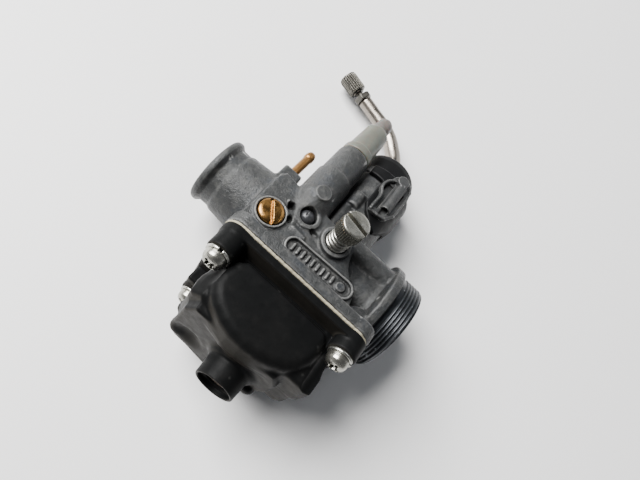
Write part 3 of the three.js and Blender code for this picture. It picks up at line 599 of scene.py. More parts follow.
# ------------------------------------------------------------- cast body
def cast_body():
    f = Field((-46.6, -37.4, -23.4), (25.6, 38.6, 23.4), H)
    f.add(cyl("Y", (0, 0), 11.4, -13.7, 37.6, 0.5))
    f.add(rev("X", (0, 0), [(-45.67, 0), (-45.67, 11.3), (-45.3, 11.75), (-44.5, 12.0), (-43.6, 11.95), (-42.9, 11.3), (-42.3, 10.75), (-39.3, 10.7),
                            (-38.2, 11.3), (-34, 11.7), (-29, 12.2), (-20, 12.4), (0.4, 12.4), (0.4, 0)]), 1.2)
    f.add(rev("X", (0, 0), [(-0.3, 0), (-0.3, 11.8), (12, 11.8), (18.6, 12.3), (20.3, 13.3), (20.8, 16.6), (21.2, 17.3), (23.7, 17.3), (24.1, 17.0),
                            (24.3, 15.45), (24.9, 15.45), (24.9, 0)]), 0.6)
    # bowl flange, with its thin lip over the gasket
    f.add(prism("Y", rounded(-28.3, 24.3, -22.5, 22.5, 5.2), -21.0, -17.2, 0.5), 0.8)
    f.add(prism("Y", rounded(-25.6, 21.8, -19.2, 19.4, 4.0), -18.5, -16.2, 0.8), 1.6)
    for x in SCREW_X:
        for z in SCREW_Z:
            f.add(cyl("Y", (x, z), 4.45, -20.8, -17.0 if z > 0 else -13.0, 0.4), 0.8)
    # side face that carries the adjusters, its right end rounded
    plate = [(-28.0, -18), (13.2, -18), (14.5, -14.5), (14.6, -12.2), (14.0, -9.6), (12.6, -7.7), (10.2, -5.4), (7.9, -3.1), (6.6, -0.6),
             (5.6, 3.0), (3.2, 5.0), (-0.7, 5.7), (-5, 6.3), (-22, 8.0), (-26.5, 8.5), (-28.0, 6.5)]
    f.add(prism("Z", plate, -0.6, 14.1, 0.7), 1.2)
    f.add(prism("Z", [(-24, -18), (18, -18), (14, -8), (6, -2), (-22, -2), (-24, -6)], -11.3, 0.7, 0.7), 1.4)
    f.add(prism("Z", [(12, -18), (23.6, -18), (23.6, -14.5), (22.4, -9.0), (20.6, -8.0), (17.8, -8.8), (15.4, -10.4), (13, -12)], -9, 12.0, 0.6), 0.9)
    f.add(bar((16.4, -12.5, 11.4), (21.0, -10.4, 11.2), 1.5), 0.8)
    # cold-start barrel
    f.add(block(-14.2, 0, 6, 31.5, -3, 7.5, 0.6), 1.2)
    f.add(rev("Y", CHOKE, [(5.0, 0), (5.0, 4.6), (6.4, 6.0), (8.4, 6.65), (21.2, 6.65), (21.25, 6.2), (33.6, 6.12), (34.3, 5.8), (34.5, 5.3), (34.5, 0)]), 0.8)
    f.add(rev("Y", CHOKE, [(-2, 0), (-2, 3.0), (2, 4.6), (6, 6.0), (9, 6.2), (9, 0)]), 1.6)
    # nipple block, air channel, ribs
    f.add(block(-29.6, -22.6, -4, 15.4, -2, 8.6, 0.8), 1.2)
    f.add(cyl("X", (5.8, 10.3), 4.2, 2, 20.9, 0.4), 1.1)
    f.add(cyl("Y", (-5.2, 9.8), 1.5, 3, 21, 0.8), 1.0)
    f.add(cyl("Y", (-4.2, 10.4), 2.4, 18.6, 25.4, 0.7), 0.7)
    f.add(block(-6.6, -2.9, 14, 29.0, 4, 9.0, 0.7), 0.9)
    f.add(block(-4.4, -0.6, 20.5, 27.5, 5, 9.6, 0.6), 0.9)
    # bosses round the adjusters, with the low web that ties them together
    f.add(bar((MIX[0], MIX[1], 12.2), (BALL[0], BALL[1], 12.2), 2.4), 1.4)
    f.add(cyl("Z", MIX, 5.3, 8, 15.0, 0.45), 0.9)
    f.add(cyl("Z", BALL, 4.4, 8, 14.9, 0.45), 0.9)
    f.add(cyl("Z", IDLE, 5.3, 8, 16.0, 0.45), 0.9)
    f.add(cyl("Z", (-13.8, 9.4), 2.8, 11, 18.1, 0.35), 0.7)
    f.add(cyl("Z", FUEL, 5.4, -11.8, 0.9, 0.4), 1.0)
    # raised frame of the label, with plain ribs and a disc in it
    lx, ly, tilt = 0.25, -10.15, 0.035
    outer = rounded(-13.0 + lx, 13.0 + lx, -3.45 + ly, 3.45 + ly, 3.4, 9)
    inner = rounded(-12.2 + lx, 12.2 + lx, -2.75 + ly, 2.75 + ly, 2.7, 9)
    f.cut(turned(prism("Z", inner, 13.75, 15.5, 0.1), (lx, ly, 14), "Z", tilt), 0.25)

    def stadium(X, Y, Z):
        d = np.maximum(poly2(outer, X, Y), -poly2(inner, X, Y))
        return combine(d + 0 * Z, np.abs(Z - 14.15) - 0.85, 0.2)
    f.add(turned((stadium, [lx - 13.6, ly - 3.4, 13.3], [lx + 13.6, ly + 3.4, 15.0]), (lx, ly, 14), "Z", tilt), 0.3)
    for i in range(9):
        x = lx - 9.9 + 1.9 * i
        f.add(turned(prism("Z", rounded(x - 0.45, x + 0.45, ly - 1.45, ly + 1.45, 0.42, 4), 13.2, 14.55, 0.2), (lx, ly, 14), "Z", tilt), 0.1)
    f.add(turned(cyl("Z", (lx + 8.6, ly), 1.65, 13.2, 14.5, 0.25), (lx, ly, 14), "Z", tilt), 0.1)
    # a short rib off the label's upper left
    f.add(bar((-13.6, -5.6, 13.9), (-9.2, -6.0, 13.9), 0.75), 0.8)
    # jet towers and float pin posts inside the bowl
    f.add(cyl("Y", (0, 0), 5.0, -36.5, -18, 0.3), 0.6)
    f.add(cyl("Y", (-9.5, 0), 3.5, -28, -18, 0.3), 0.6)
    f.add(block(10.8, 15.2, -28.2, -20, 4.6, 6.9), 0.5)
    f.add(block(10.8, 15.2, -28.2, -20, -6.9, -4.6), 0.5)
    # cuts
    f.cut(cyl("X", (0, 0), 9.3, -48, 26, 0.0), 0.25)
    f.cut(cyl("X", (0, 0), 9.3, 19.9, 33, 0, 13.4), 0.2)
    f.cut(cyl("Y", (0, 0), 10.05, -10.1, 39, 0.0), 0.2)
    f.cut(cyl("Y", (0, 0), 2.65, -38, -9.5, 0.0), 0.1)
    f.cut(cyl("Y", (-9.5, 0), 2.15, -30, -14.5, 0.0), 0.1)
    f.cut(cyl("Y", (8.7, 0), 2.9, -23, -14.6, 0.0), 0.1)
    f.cut(cyl("Y", CHOKE, 4.2, 10.0, 37, 0.0), 0.2)
    f.cut(cyl("Z", IDLE, 2.1, 5, 18, 0.0), 0.1)
    f.cut(cyl("Z", IDLE, 4.0, 14.9, 18, 0.1), 0.25)
    f.cut(cyl("Z", MIX, 4.6, 12.3, 17, 0.2), 0.25)
    f.cut(cyl("Z", MIX, 3.35, 10.1, 16, 0.1), 0.1)
    f.cut(cyl("Z", MIX, 2.2, 8.5, 12, 0.1), 0.1)
    f.cut(cyl("Z", BALL, 2.95, 10.0, 17, 0.2), 0.25)
    f.cut(cyl("Y", (-26.2, 4.4), 1.65, 5, 17, 0.0), 0.2)
    f.cut(cyl("Z", FUEL, 2.8, -14, -9.2, 0.0), 0.1)
    f.cut(cyl("Z", (13.0, -26.0), 0.9, -8, 8, 0.0), 0.05)
    for x in SCREW_X:
        for z in SCREW_Z:
            f.cut(cyl("Y", (x, z), 2.05, -23, -17.9, 0.0), 0.1)
    # small cast hollows between the bosses
    f.cut(turned(block(-19.6, -17.4, -1.6, 1.4, 11.0, 18, 0.5), (-18.5, 0, 13), "Z", 0.5), 0.5)
    f.cut(ball((-16.2, -4.4, 13.9), 1.05, (1.0, 1.2, 1.4)), 0.35)
    f.cut(ball((-7.6, -2.0, 14.0), 1.1, (1.5, 0.9, 1.3)), 0.4)
    return f.mesh()


body_piece = piece("body_casting", cast_body(), CAST, ROOT, ("carburetor_body",), faces=190000)


def thread_ring():
    h = 0.22
    f = Field((23.6, -16.8, -16.8), (33.4, 16.8, 16.8), h)

    def fn(X, Y, Z):
        rho = np.sqrt(Y * Y + Z * Z)
        ang = np.arctan2(Z, Y) / (2 * np.pi)
        ph = ((X - 24.6) / 1.22 - ang) % 1.0
        tri = 1 - np.abs(2 * ph - 1)
        deep = np.clip((X - 25.7) / 0.6, 0, 1) * np.clip((32.7 - X) / 0.5, 0, 1)
        r = 15.42 + 0.55 * np.clip(tri * 1.35 - 0.1, 0, 1) * deep
        return combine((rho - r) * 0.75, np.abs(X - 28.65) - 4.15, 0.12)
    f.add((fn, [24.5, -16, -16], [32.8, 16, 16]), 0)
    f.cut(cyl("X", (0, 0), 11.72, 23, 33, 0.0, 13.42), 0.0)
    f.cut(cyl("X", (0, 0), 13.4, 32.2, 33.6, 0.0, 14.1), 0.1)
    return f.mesh()


piece("inlet_thread", thread_ring(), THREAD, ROOT, ("carburetor_body",), faces=190000)


# --------------------------------------------------------------- float bowl
def bowl():
    f = Field((-29.2, -53.2, -23.3), (25.2, -21.2, 23.3), 0.32)
    f.add(prism("Y", rounded(-28.1, 24.1, -22.2, 22.2, 5.2), -24.4, -21.85, 0.35), 0.5)
    g = Field(f.lo, (25.2, -21.2, 23.3), f.h)
    g.add(prism("Y", rounded(-22.4, 18.8, -18.8, 15.6, 5.5), -38.6, -23, 1.8), 1.0)
    mid = [(-22.3, 12), (-19, 15.4), (15.4, 15.4), (19.2, 12), (19.4, -7), (17.6, -9.8), (13.4, -10.6), (9.6, -14.6), (5, -17.4), (-2, -18.8), (-17, -18.6), (-20.8, -16.8), (-22.3, -13)]
    g.add(prism("Y", mid, -41.3, -34, 1.6), 1.8)
    low = [(-20.4, 8), (-17.6, 14.0), (10, 14.0), (12.4, 9), (12.8, 2), (12.0, -2.6), (9.6, -6.6), (6.6, -9.6), (3.6, -15.4), (0, -18.6), (-6.2, -19.2), (-10.4, -17.9), (-14, -16.8),
           (-18.4, -16.4), (-20.6, -14.4), (-21.3, -11), (-20.9, -3)]
    g.add(prism("Y", low, -44.3, -40.5, 1.0), 1.8)
    # the big bulge on the adjuster side, its walls drawn out towards the bottom
    wall = [(-15.9, -25.4), (13.2, -25.6), (14.6, -27.2), (15.6, -31.5), (15.0, -35.6), (13.2, -39.2), (10.3, -42.0), (6.1, -43.9), (2.0, -45.0),
            (-2.5, -45.5), (-6.9, -45.2), (-10.7, -44.1), (-14.8, -42.0), (-17.3, -39.9), (-19.3, -37.0), (-20.0, -33.5), (-19.3, -30.2), (-18.3, -27.4)]

    def crown(X, Y, Z):
        top = 19.5 - 0.0028 * ((X + 2.4) ** 2 + 1.1 * (Y + 34.0) ** 2)
        drawn = 0.17 * np.clip(Z - 12.0, 0, 9) + 0.55 * np.clip(9.8 - Z, 0, 6)
        d = poly2(wall, X, Y) + drawn - 0.75 * np.clip((-27.0 - Y) / 2, 0, 1)
        rd = 2.7 - 1.9 * np.clip((Y + 30.0) / 3.2, 0, 1)
        return combine(d, np.maximum(Z - top, 5.0 - Z), rd)
    g.add((crown, [-21.0, -46.4, 4.5], [16.6, -25.2, 19.8]), 1.1)
    # lumps of the far left corner, with a shallow hollow between them
    g.add(ball((-20.2, -36.6, -14.6), 3.4), 1.6)
    g.add(ball((-18.3, -42.4, -11.6), 2.7), 1.4)
    g.cut(bar((-23.0, -40.4, -18.6), (-22.4, -40.4, -7.0), 1.3), 1.2)
    g.cut(ball((-14.6, -49.4, -8.2), 6.9), 1.6)
    f.F = Field.smin(f.F, g.F, 0.6)
    for x in SCREW_X:
        for z in SCREW_Z:
            f.add(cyl("Y", (x, z), 4.4, BOSS_END[x], -21.9, 0.35), 0.9)
    # foot block at the right, and the wall up to its screw boss
    f.add(prism("Z", [(10.6, -33), (18.8, -30), (20.2, -36), (20.1, -41.0), (18.0, -41.8), (10.4, -41.6)], 2.5, 15.9, 1.7), 1.1)
    f.add(prism("Z", [(13.2, -24), (19.4, -24), (19.2, -32), (12.6, -32)], 6, 15.6, 0.9), 1.0)
    f.add(block(-27.4, -20, -30, -23, -19, -10, 0.8), 0.9)
    f.add(cyl("Y", (0, 0), 7.6, -45.6, -40, 0.6), 2.2)
    f.add(cyl("Y", (0, 0), 6.4, -52.4, -44, 0.22, 6.9), 1.2)
    f.add(ball((8.2, -44.2, -6.6), 2.6, (1, 0.85, 1)), 0.6)
    # cuts
    f.cut(prism("Y", rounded(-20.0, 16.4, -16.8, 13.4, 5), -36.3, -20, 0.6), 0.3)
    f.cut(prism("Y", [(-20.0, 10), (-17, 13.4), (13, 13.4), (16.6, 10), (16.6, -6), (12, -8.4), (8.2, -12.6), (3.8, -15.4), (-2, -16.8), (-16, -16.6), (-20, -12)], -38.5, -34, 0.5), 0.3)
    f.cut(prism("Y", [(-15, 12), (9, 12), (10.4, 6), (9.8, -2), (5, -8), (1.6, -14), (-6, -16.4), (-8, -14), (-13, 0)], -42.0, -36, 0.5), 0.3)
    inner = [((x + 2.2) * 0.84 - 2.2, (y + 32.6) * 0.80 - 32.6) for x, y in wall]
    f.cut(prism("Z", inner, 7, 17.0, 1.0), 0.3)
    f.cut(cyl("Y", (0, 0), 4.75, -54, -40, 0.0), 0.15)
    f.cut(rev("Y", (0, 0), [(-54, 0), (-54, 5.75), (-52.2, 5.6), (-50.7, 5.5), (-50.5, 4.8), (-50.5, 0)]), 0.1)
    for x in SCREW_X:
        for z in SCREW_Z:
            f.cut(cyl("Y", (x, z), 2.3, -32, -20, 0.0), 0.1)
            f.cut(cyl("Y", (x, z), 4.3, -55, BOSS_END[x], 0.2), 0.25)
    return f.mesh()


piece("bowl_shell", bowl(), PLASTIC, ROOT, ("float_bowl",), faces=190000)


def gasket():
    f = Field((-29.4, -22.6, -23.6), (25.2, -20.3, 23.6), 0.24)

    def fn(X, Y, Z):
        o = poly2(rounded(-28.15, 24.15, -22.3, 22.3, 5.2), X, Z)
        i = poly2(rounded(-19.4, 16.0, -16.6, 16.6, 4), X, Z)
        d = np.maximum(o, -i)
        wob = 0.07 * np.sin(X * 1.7) * np.cos(Z * 1.3) + 0.05 * np.sin(X * 4.1 + Z * 3.3)
        return combine(d + wob + 0 * Y, np.abs(Y + 21.43) - 0.40, 0.12)
    f.add((fn, [-28.3, -21.85, -22.5], [24.3, -21.0, 22.5]), 0)
    for x in SCREW_X:
        for z in SCREW_Z:
            f.cut(cyl("Y", (x, z), 2.2, -23, -20, 0.0), 0.0)
    return f.mesh()


piece("gasket_sheet", gasket(), PAPER, ROOT, ("bowl_gasket",), faces=60000)


# ------------------------------------------------------------------ fasteners
def bowl_screw(x, z, spin):
    e = BOSS_END[x]
    h = 0.11
    f = Field((x - 4.2, e - 4.8, z - 4.2), (x + 4.2, e - 0.6, z + 4.2), h)
    f.add(rev("Y", (x, z), [(e - 4.2, 0), (e - 4.2, 1.5), (e - 4.02, 2.2), (e - 3.6, 2.78), (e - 2.95, 3.2), (e - 2.3, 3.36), (e - 1.15, 3.4), (e - 1.05, 3.3), (e - 1.05, 0)]), 0)
    for k in (0, 1):
        arm = block(x - 2.0, x + 2.0, e - 6, e - 2.5, z - 0.48, z + 0.48, 0.05)
        f.cut(turned(arm, (x, e, z), "Y", spin + k * math.pi / 2), 0.1)
    f.cut(rev("Y", (x, z), [(e - 6, 0), (e - 6, 1.5), (e - 3.9, 1.2), (e - 2.4, 0.3), (e - 2.4, 0)]), 0.15)
    head = f.mesh()
    g = Field((x - 2.4, e - 1.6, z - 2.4), (x + 2.4, -17.6, z + 2.4), 0.24)
    m, k = (e - 1.2 - 18.3) / 2, (e - 1.2 + 18.3) / -2

    def fn(X, Y, Z):
        rho = np.sqrt((X - x) ** 2 + (Z - z) ** 2)
        ph = (Y / 0.7 - np.arctan2(Z - z, X - x) / (2 * np.pi)) % 1.0
        return combine((rho - 1.6 - 0.25 * (1 - np.abs(2 * ph - 1))) * 0.8, np.abs(Y - m) - k, 0.1)
    g.add((fn, [x - 1.9, e - 1.3, z - 1.9], [x + 1.9, -18.2, z + 1.9]), 0)
    shank = g.mesh()
    V = np.vstack([head[0], shank[0]])
    return V, np.vstack([head[1], shank[1] + len(head[0])])


def lock_washer(x, z, spin):
    n = 64
    w = np.linspace(0.16, 2 * np.pi - 0.16, n) + spin
    prof = [(2.15, -0.38), (2.15, 0.38), (2.3, 0.44), (3.8, 0.44), (3.98, 0.3), (3.98, -0.3), (3.8, -0.44), (2.3, -0.44)]
    k = len(prof)
    V, Q = [], []
    for i in range(n):
        lift = BOSS_END[x] - 0.52 + 0.05 * (i / (n - 1) - 0.5) * 2
        for r, t in prof:
            V.append((x + r * math.cos(w[i]), lift + t, z + r * math.sin(w[i])))
    for i in range(n - 1):
        for j in range(k):
            a, b = i * k + j, i * k + (j + 1) % k
            Q.append((a, b, b + k, a + k))
    e = (n - 1) * k
    Q += [(0, 7, 6, 1), (1, 6, 5, 2), (2, 5, 4, 3), (e, e + 1, e + 6, e + 7), (e + 1, e + 2, e + 5, e + 6), (e + 2, e + 3, e + 4, e + 5)]
    Q = np.array(Q)
    return np.array(V), Q[:, ::-1]


for name, x, z, spin in (("far_left", -23.1, -18.0, 0.3), ("far_right", 19.8, -18.0, 1.1), ("near_left", -23.1, 18.0, 0.75), ("near_right", 19.8, 18.0, 0.2)):
    piece("screw_" + name, bowl_screw(x, z, spin), ZINC, ROOT, ("bowl_screw_" + name,))
    piece("washer_" + name, lock_washer(x, z, spin * 2.1), ZINC, ROOT, ("bowl_lock_washer_" + name,))


def jet_plug():
    f = Field((-5, -50.9, -5), (5, -43.5, 5), 0.2)
    f.add(rev("Y", (0, 0), [(-50.2, 0), (-50.2, 3.9), (-49.9, 4.3), (-48.6, 4.3), (-48.6, 3.35), (-47.0, 3.35), (-47.0, 4.3), (-44.2, 4.3), (-44.2, 0)]), 0)
    hexa = [(2.2 * math.cos(math.pi * i / 3), 2.2 * math.sin(math.pi * i / 3)) for i in range(6)]
    f.cut(prism("Y", hexa, -52, -48.4, 0.0), 0.1)
    return f.mesh()


piece("jet_plug", jet_plug(), SHADED_PLUG_STEEL, ROOT, ("main_jet_plug",))


# ------------------------------------------------------- cover and its clamp
def cover():
    f = Field((-12.4, 12.4, -12.4), (14.6, 51.6, 14.6), 0.27)
    f.add(rev("Y", (0, 0), [(38.4, 0), (38.4, 11.0), (38.7, 11.3), (47.5, 11.25), (49.5, 10.85), (50.2, 10.5), (50.6, 9.9), (50.7, 9.2), (50.7, 0)]), 0)
    g = Field(f.lo, (14.6, 51.6, 14.6), f.h)
    g.add(cyl("Y", (0, 0), 13.5, 13.0, 40.5, 0.9), 0)
    g.cut(cyl("Y", (0, 0), 11.7, 12, 38.4, 0.0), 0.1)
    skirt = [(-7.2, 41), (-7.2, 36.2), (-1.6, 35.0), (-1.6, 23.0), (0.2, 19.9), (4.6, 16.4), (7.0, 16.2), (8.8, 18.6), (10.8, 22.6), (12.6, 27), (14.4, 33), (14.4, 41)]
    g.keep(prism("Z", skirt, -4, 14.2, 0.4), 0.3)
    f.F = Field.smin(f.F, g.F, 1.6)
    # moulded ribs up the side of the cap
    for k in range(5):
        w = math.radians(-60 + 24 * k)
        f.add(bar((11.25 * math.cos(w), 39.5, 11.25 * math.sin(w)), (11.2 * math.cos(w), 46.5, 11.2 * math.sin(w)), 0.42), 0.4)
    f.cut(cyl("Y", (0, 0), 9.4, 37, 45.6, 0.0), 0.2)
    f.cut(cyl("Y", (0, 0), 2.8, 45, 53, 0.0), 0.2)
    return f.mesh()


piece("cover_shell", cover(), COVERP, ROOT, ("slide_cover",), faces=120000)


def clamp():
    f = Field((-2.4, 18.6, 12.6), (10.4, 43.6, 18.4), 0.15)
    o = [(0.4, 37.2), (1.0, 39.4), (2.4, 41.0), (4.4, 41.6), (6.4, 41.2), (7.8, 39.6), (8.6, 37.1), (8.9, 33), (8.8, 28), (8.3, 24), (7.4, 21.2),
         (6.2, 20.0), (1.6, 19.7), (0.4, 20.2), (0.3, 22.4), (0.2, 27.0)]
    f.add(prism("Z", o, 13.6, 14.9, 0.25), 0)
    rim = [(8.5, 24.2), (8.7, 29.1), (8.6, 34.5), (8.3, 37.4), (7.2, 40.0)]
    for a, b in zip(rim, rim[1:]):
        f.add(bar((*a, 15.1), (*b, 15.1), 0.42), 0.3)
    low = [(0.9, 19.9), (3.6, 20.1), (6.6, 20.7), (8.4, 24.2)]
    for a, b in zip(low, low[1:]):
        f.add(bar((*a, 15.0), (*b, 15.0), 0.5), 0.3)
    strip = spline([(0.6, 20.2, 15.5), (0.6, 23.4, 15.5), (0.75, 26.2, 15.6), (0.35, 28.3, 15.6), (-0.75, 30.2, 15.6), (-0.95, 32.2, 15.6), (-0.2, 34.6, 15.6), (1.4, 36.4, 15.5)], 18)
    for a, b in zip(strip, strip[1:]):
        f.add(bar(a, b, 0.55), 0.25)
        f.add(bar(a - (0, 0, 1.1), b - (0, 0, 1.1), 0.5), 0.3)
    f.add(cyl("Y", (4.9, 15.4), 1.85, 23.2, 36.4, 0.25), 0.3)
    f.add(cyl("Z", (3.9, 37.8), 2.25, 14.0, 17.1, 0.3), 0.35)
    f.cut(cyl("Y", (4.9, 15.4), 1.25, 21, 28.2, 0.1), 0.15)
    f.cut(prism("Z", [(1.5, 22.2), (2.5, 22.2), (2.6, 30), (2.6, 34.5), (0.4, 34.4), (0.1, 31.6), (1.4, 29.2), (1.5, 26.5)], 14.0, 17.5, 0.1), 0.25)
    f.cut(block(6.9, 7.4, 30.6, 34.4, 14.2, 17.4, 0.1), 0.12)
    return f.mesh()


piece("clamp_casting", clamp(), CLAMPM, ROOT, ("cover_clamp",), faces=90000)


# --------------------------------------------------------- cable guide at top
path = [[0, 45.9, 0], [0, 51, 0], [-0.7, 55.2, 0], [-2.6, 59.2, 0], [-5.8, 63.2, 0], [-10.0, 67.2, 0], [-14.8, 69.8, 0], [-20.6, 71.5, 0], TUBE_END]
pts = spline(path, 90)
V1, Q1 = sweep(pts, np.array([2.62 + 0.42 * min(max((i - 16) / 8, 0), 1) - 0.22 * min(max((i - 60) / 16, 0), 1) for i in range(90)]), 28)
f = Field((-5, 50.2, -5), (5, 53.4, 5), 0.2)
f.add(rev("Y", (0, 0), [(50.85, 0), (50.85, 3.5), (51.1, 3.8), (51.8, 3.8), (52.2, 3.4), (52.2, 0)]), 0)
f.cut(cyl("Y", (0, 0), 2.2, 49, 54, 0), 0)
V2, Q2 = f.mesh()
piece("elbow_tube", (np.vstack([V1, V2]), np.vstack([Q1, Q2 + len(V1)])), NICKEL, ROOT, ("cable_elbow",))


def on_tube(V):
    """Points with Y along the adjuster's axis, moved onto the tube's end."""
    q = Vector((0, 1, 0)).rotation_difference(Vector(TUBE_DIR)).to_matrix()
    return V @ np.array(q).T + TUBE_END


def lock_nut():
    f = Field((-4.4, 0, -4.4), (4.4, 3.2, 4.4), 0.12)
    hexa = [(3.8 * math.cos(math.pi * i / 3 + 0.26), 3.8 * math.sin(math.pi * i / 3 + 0.26)) for i in range(6)]
    f.add(prism("Y", hexa, 0.45, 2.75, 0.05), 0)
    f.keep(rev("Y", (0, 0), [(0.3, 0), (0.3, 3.2), (1.0, 3.9), (2.2, 3.9), (2.9, 3.2), (2.9, 0)]), 0.1)
    f.cut(cyl("Y", (0, 0), 1.8, -1, 4, 0), 0.1)
    V, Q = f.mesh()
    return on_tube(V), Q


piece("lock_nut", lock_nut(), NUTM, "adjuster_lock_nut", ("adjuster_lock_nut",))


def adjuster():
    f = Field((-4.2, -3.6, -4.2), (4.2, 13.4, 4.2), 0.115)

    def fn(X, Y, Z):
        rho = np.sqrt(X * X + Z * Z)
        w = np.arctan2(Z, X)
        tooth = 0.20 * np.clip(np.cos(26 * w) * 1.6, -1, 1)
        fade = np.clip((Y - 5.0) / 0.5, 0, 1) * np.clip((12.5 - Y) / 0.6, 0, 1)
        r = 3.45 + tooth * fade
        return combine((rho - r) * 0.8, np.abs(Y - 8.9) - 4.0, 0.35)
    f.add((fn, [-3.7, 4.9, -3.7], [3.7, 12.9, 3.7]), 0)

    def stem(X, Y, Z):
        rho = np.sqrt(X * X + Z * Z)
        ph = (Y / 0.7 - np.arctan2(Z, X) / (2 * np.pi)) % 1.0
        return combine((rho - 1.3 - 0.2 * (1 - np.abs(2 * ph - 1))) * 0.8, np.abs(Y - 1.1) - 4.1, 0.1)
    f.add((stem, [-1.6, -3.0, -1.6], [1.6, 5.2, 1.6]), 0)
    f.add(cyl("Y", (0, 0), 2.4, 4.3, 5.4, 0.15), 0.2)
    f.cut(rev("Y", (0, 0), [(-5, 0), (-5, 0.7), (11.4, 0.7), (11.4, 1.5), (14, 1.8), (14, 0)]), 0.1)
    V, Q = f.mesh()
    return on_tube(V), Q


piece("adjuster_head", adjuster(), DARKNICKEL, "cable_adjuster", ("cable_adjuster",))


# ------------------------------------------------------ cold-start boot, rod
def boot():
    f = Field((CHOKE[0] - 7.2, 34.0, CHOKE[1] - 7.2), (CHOKE[0] + 7.2, 59.0, CHOKE[1] + 7.2), 0.2)
    f.add(rev("Y", CHOKE, [(34.7, 4.88), (34.7, 5.7), (34.95, 5.85), (37.5, 5.85), (37.95, 5.6), (38.3, 5.2), (46.5, 4.85), (51.0, 4.6), (52.0, 4.35), (52.5, 3.9),
                           (52.7, 3.2), (52.7, 1.5), (51.6, 1.5), (50.6, 3.2), (46.5, 4.1), (39.0, 4.5), (37.4, 4.88)]), 0)
    return f.mesh()


piece("boot", boot(), BOOT, ROOT, ("choke_boot",), faces=90000)


def rod():
    f = Field((CHOKE[0] - 4.6, 9.8, CHOKE[1] - 4.6), (CHOKE[0] + 4.6, 58.6, CHOKE[1] + 4.6), 0.26)
    f.add(rev("Y", CHOKE, [(10.5, 0), (10.5, 3.6), (10.9, 3.95), (18.1, 3.95), (18.5, 3.6), (18.5, 1.15), (57.6, 1.15), (57.6, 0)]), 0)
    return f.mesh()


def nub():
    f = Field((CHOKE[0] - 4.0, 52.4, CHOKE[1] - 4.0), (CHOKE[0] + 4.0, 62.0, CHOKE[1] + 4.0), 0.16)
    f.add(rev("Y", CHOKE, [(53.1, 0), (53.1, 2.5), (53.5, 2.85), (55.2, 3.15), (57.4, 3.2), (59.0, 2.85), (60.1, 2.15), (60.75, 1.2), (60.95, 0.4), (60.95, 0)]), 0)
    f.cut(cyl("Y", CHOKE, 1.2, 52, 57.7, 0), 0)
    return f.mesh()


piece("start_rod", rod(), BRASS, "choke_plunger", ("choke_plunger",))
piece("start_rod_nub", nub(), NUB, "choke_plunger", ("choke_plunger",))


# ------------------------------------------------------------------- trim
def nipple():
    c = (-26.2, 4.4)
    f = Field((c[0] - 2.4, 8.4, c[1] - 2.4), (c[0] + 2.4, 29.8, c[1] + 2.4), 0.13)
    f.add(rev("Y", c, [(9, 0.8), (9, 1.55), (16.0, 1.55), (16.3, 1.62), (25.6, 1.62), (26.1, 1.84), (27.4, 1.84), (28.4, 1.62), (29.0, 1.25), (29.2, 0.95), (29.1, 0.8)]), 0)
    return f.mesh()


piece("nipple", nipple(), COPPERY, ROOT, ("vent_nipple",))


def plug_ball():
    f = Field((BALL[0] - 3.2, BALL[1] - 3.2, 9.6), (BALL[0] + 3.2, BALL[1] + 3.2, 16), 0.16)
    f.add(ball((*BALL, 12.8), 2.6), 0)
    f.add(ball((BALL[0] - 0.2, BALL[1] + 0.2, 13.0), 2.42, (1.04, 1, 1)), 0.2)
    f.cut(block(BALL[0] - 0.9, BALL[0] - 0.5, BALL[1] - 0.6, BALL[1] + 0.6, 15.1, 16, 0.05), 0.15)
    return f.mesh()


piece("ball_plug", plug_ball(), DARKBALL, ROOT, ("passage_plug",))


# ---------------------------------------------------------- adjusting screws
def idle_screw():
    x, y = IDLE
    f = Field((x - 5.1, y - 5.1, 22.0), (x + 5.1, y + 5.1, 29.8), 0.13)

    def fn(X, Y, Z):
        u, v = X - x, Y - y
        rho = np.sqrt(u * u + v * v)
        w = np.arctan2(v, u)
        fade = np.clip((Z - 23.0) / 0.4, 0, 1) * np.clip((28.2 - Z) / 0.4, 0, 1)
        r = 4.28 + 0.18 * np.clip(np.cos(38 * w) * 1.5, -1, 1) * fade
        return combine((rho - r) * 0.8, np.abs(Z - 25.9) - 3.3, 0.35)
    f.add((fn, [x - 4.5, y - 4.5, 22.6], [x + 4.5, y + 4.5, 29.2]), 0)
    f.cut(turned(block(x - 6, x + 6, y - 0.68, y + 0.68, 26.7, 31, 0.05), (x, y, 29), "Z", -0.19), 0.12)
    head = f.mesh()
    g = Field((x - 2.4, y - 2.4, 8.9), (x + 2.4, y + 2.4, 23.3), 0.22)

    def thr(X, Y, Z):
        rho = np.sqrt((X - x) ** 2 + (Y - y) ** 2)
        ph = (Z / 0.7 - np.arctan2(Y - y, X - x) / (2 * np.pi)) % 1.0
        cone = np.clip((Z - 9.25) / 1.2, 0, 1)
        return combine((rho - (1.0 + 0.65 * cone) - 0.25 * (1 - np.abs(2 * ph - 1))) * 0.7, np.abs(Z - 16.1) - 6.85, 0.1)
    g.add((thr, [x - 1.9, y - 1.9, 9.25], [x + 1.9, y + 1.9, 22.9]), 0)
    s = g.mesh()
    return np.vstack([head[0], s[0]]), np.vstack([head[1], s[1] + len(head[0])])


piece("idle_screw", idle_screw(), ZINC, "idle_speed_screw", ("idle_speed_screw",))
piece("idle_spring", coil("Z", IDLE, 3.2, 15.5, 22.0, 4.6, 0.6), ZINC, ROOT, ("idle_speed_spring",))


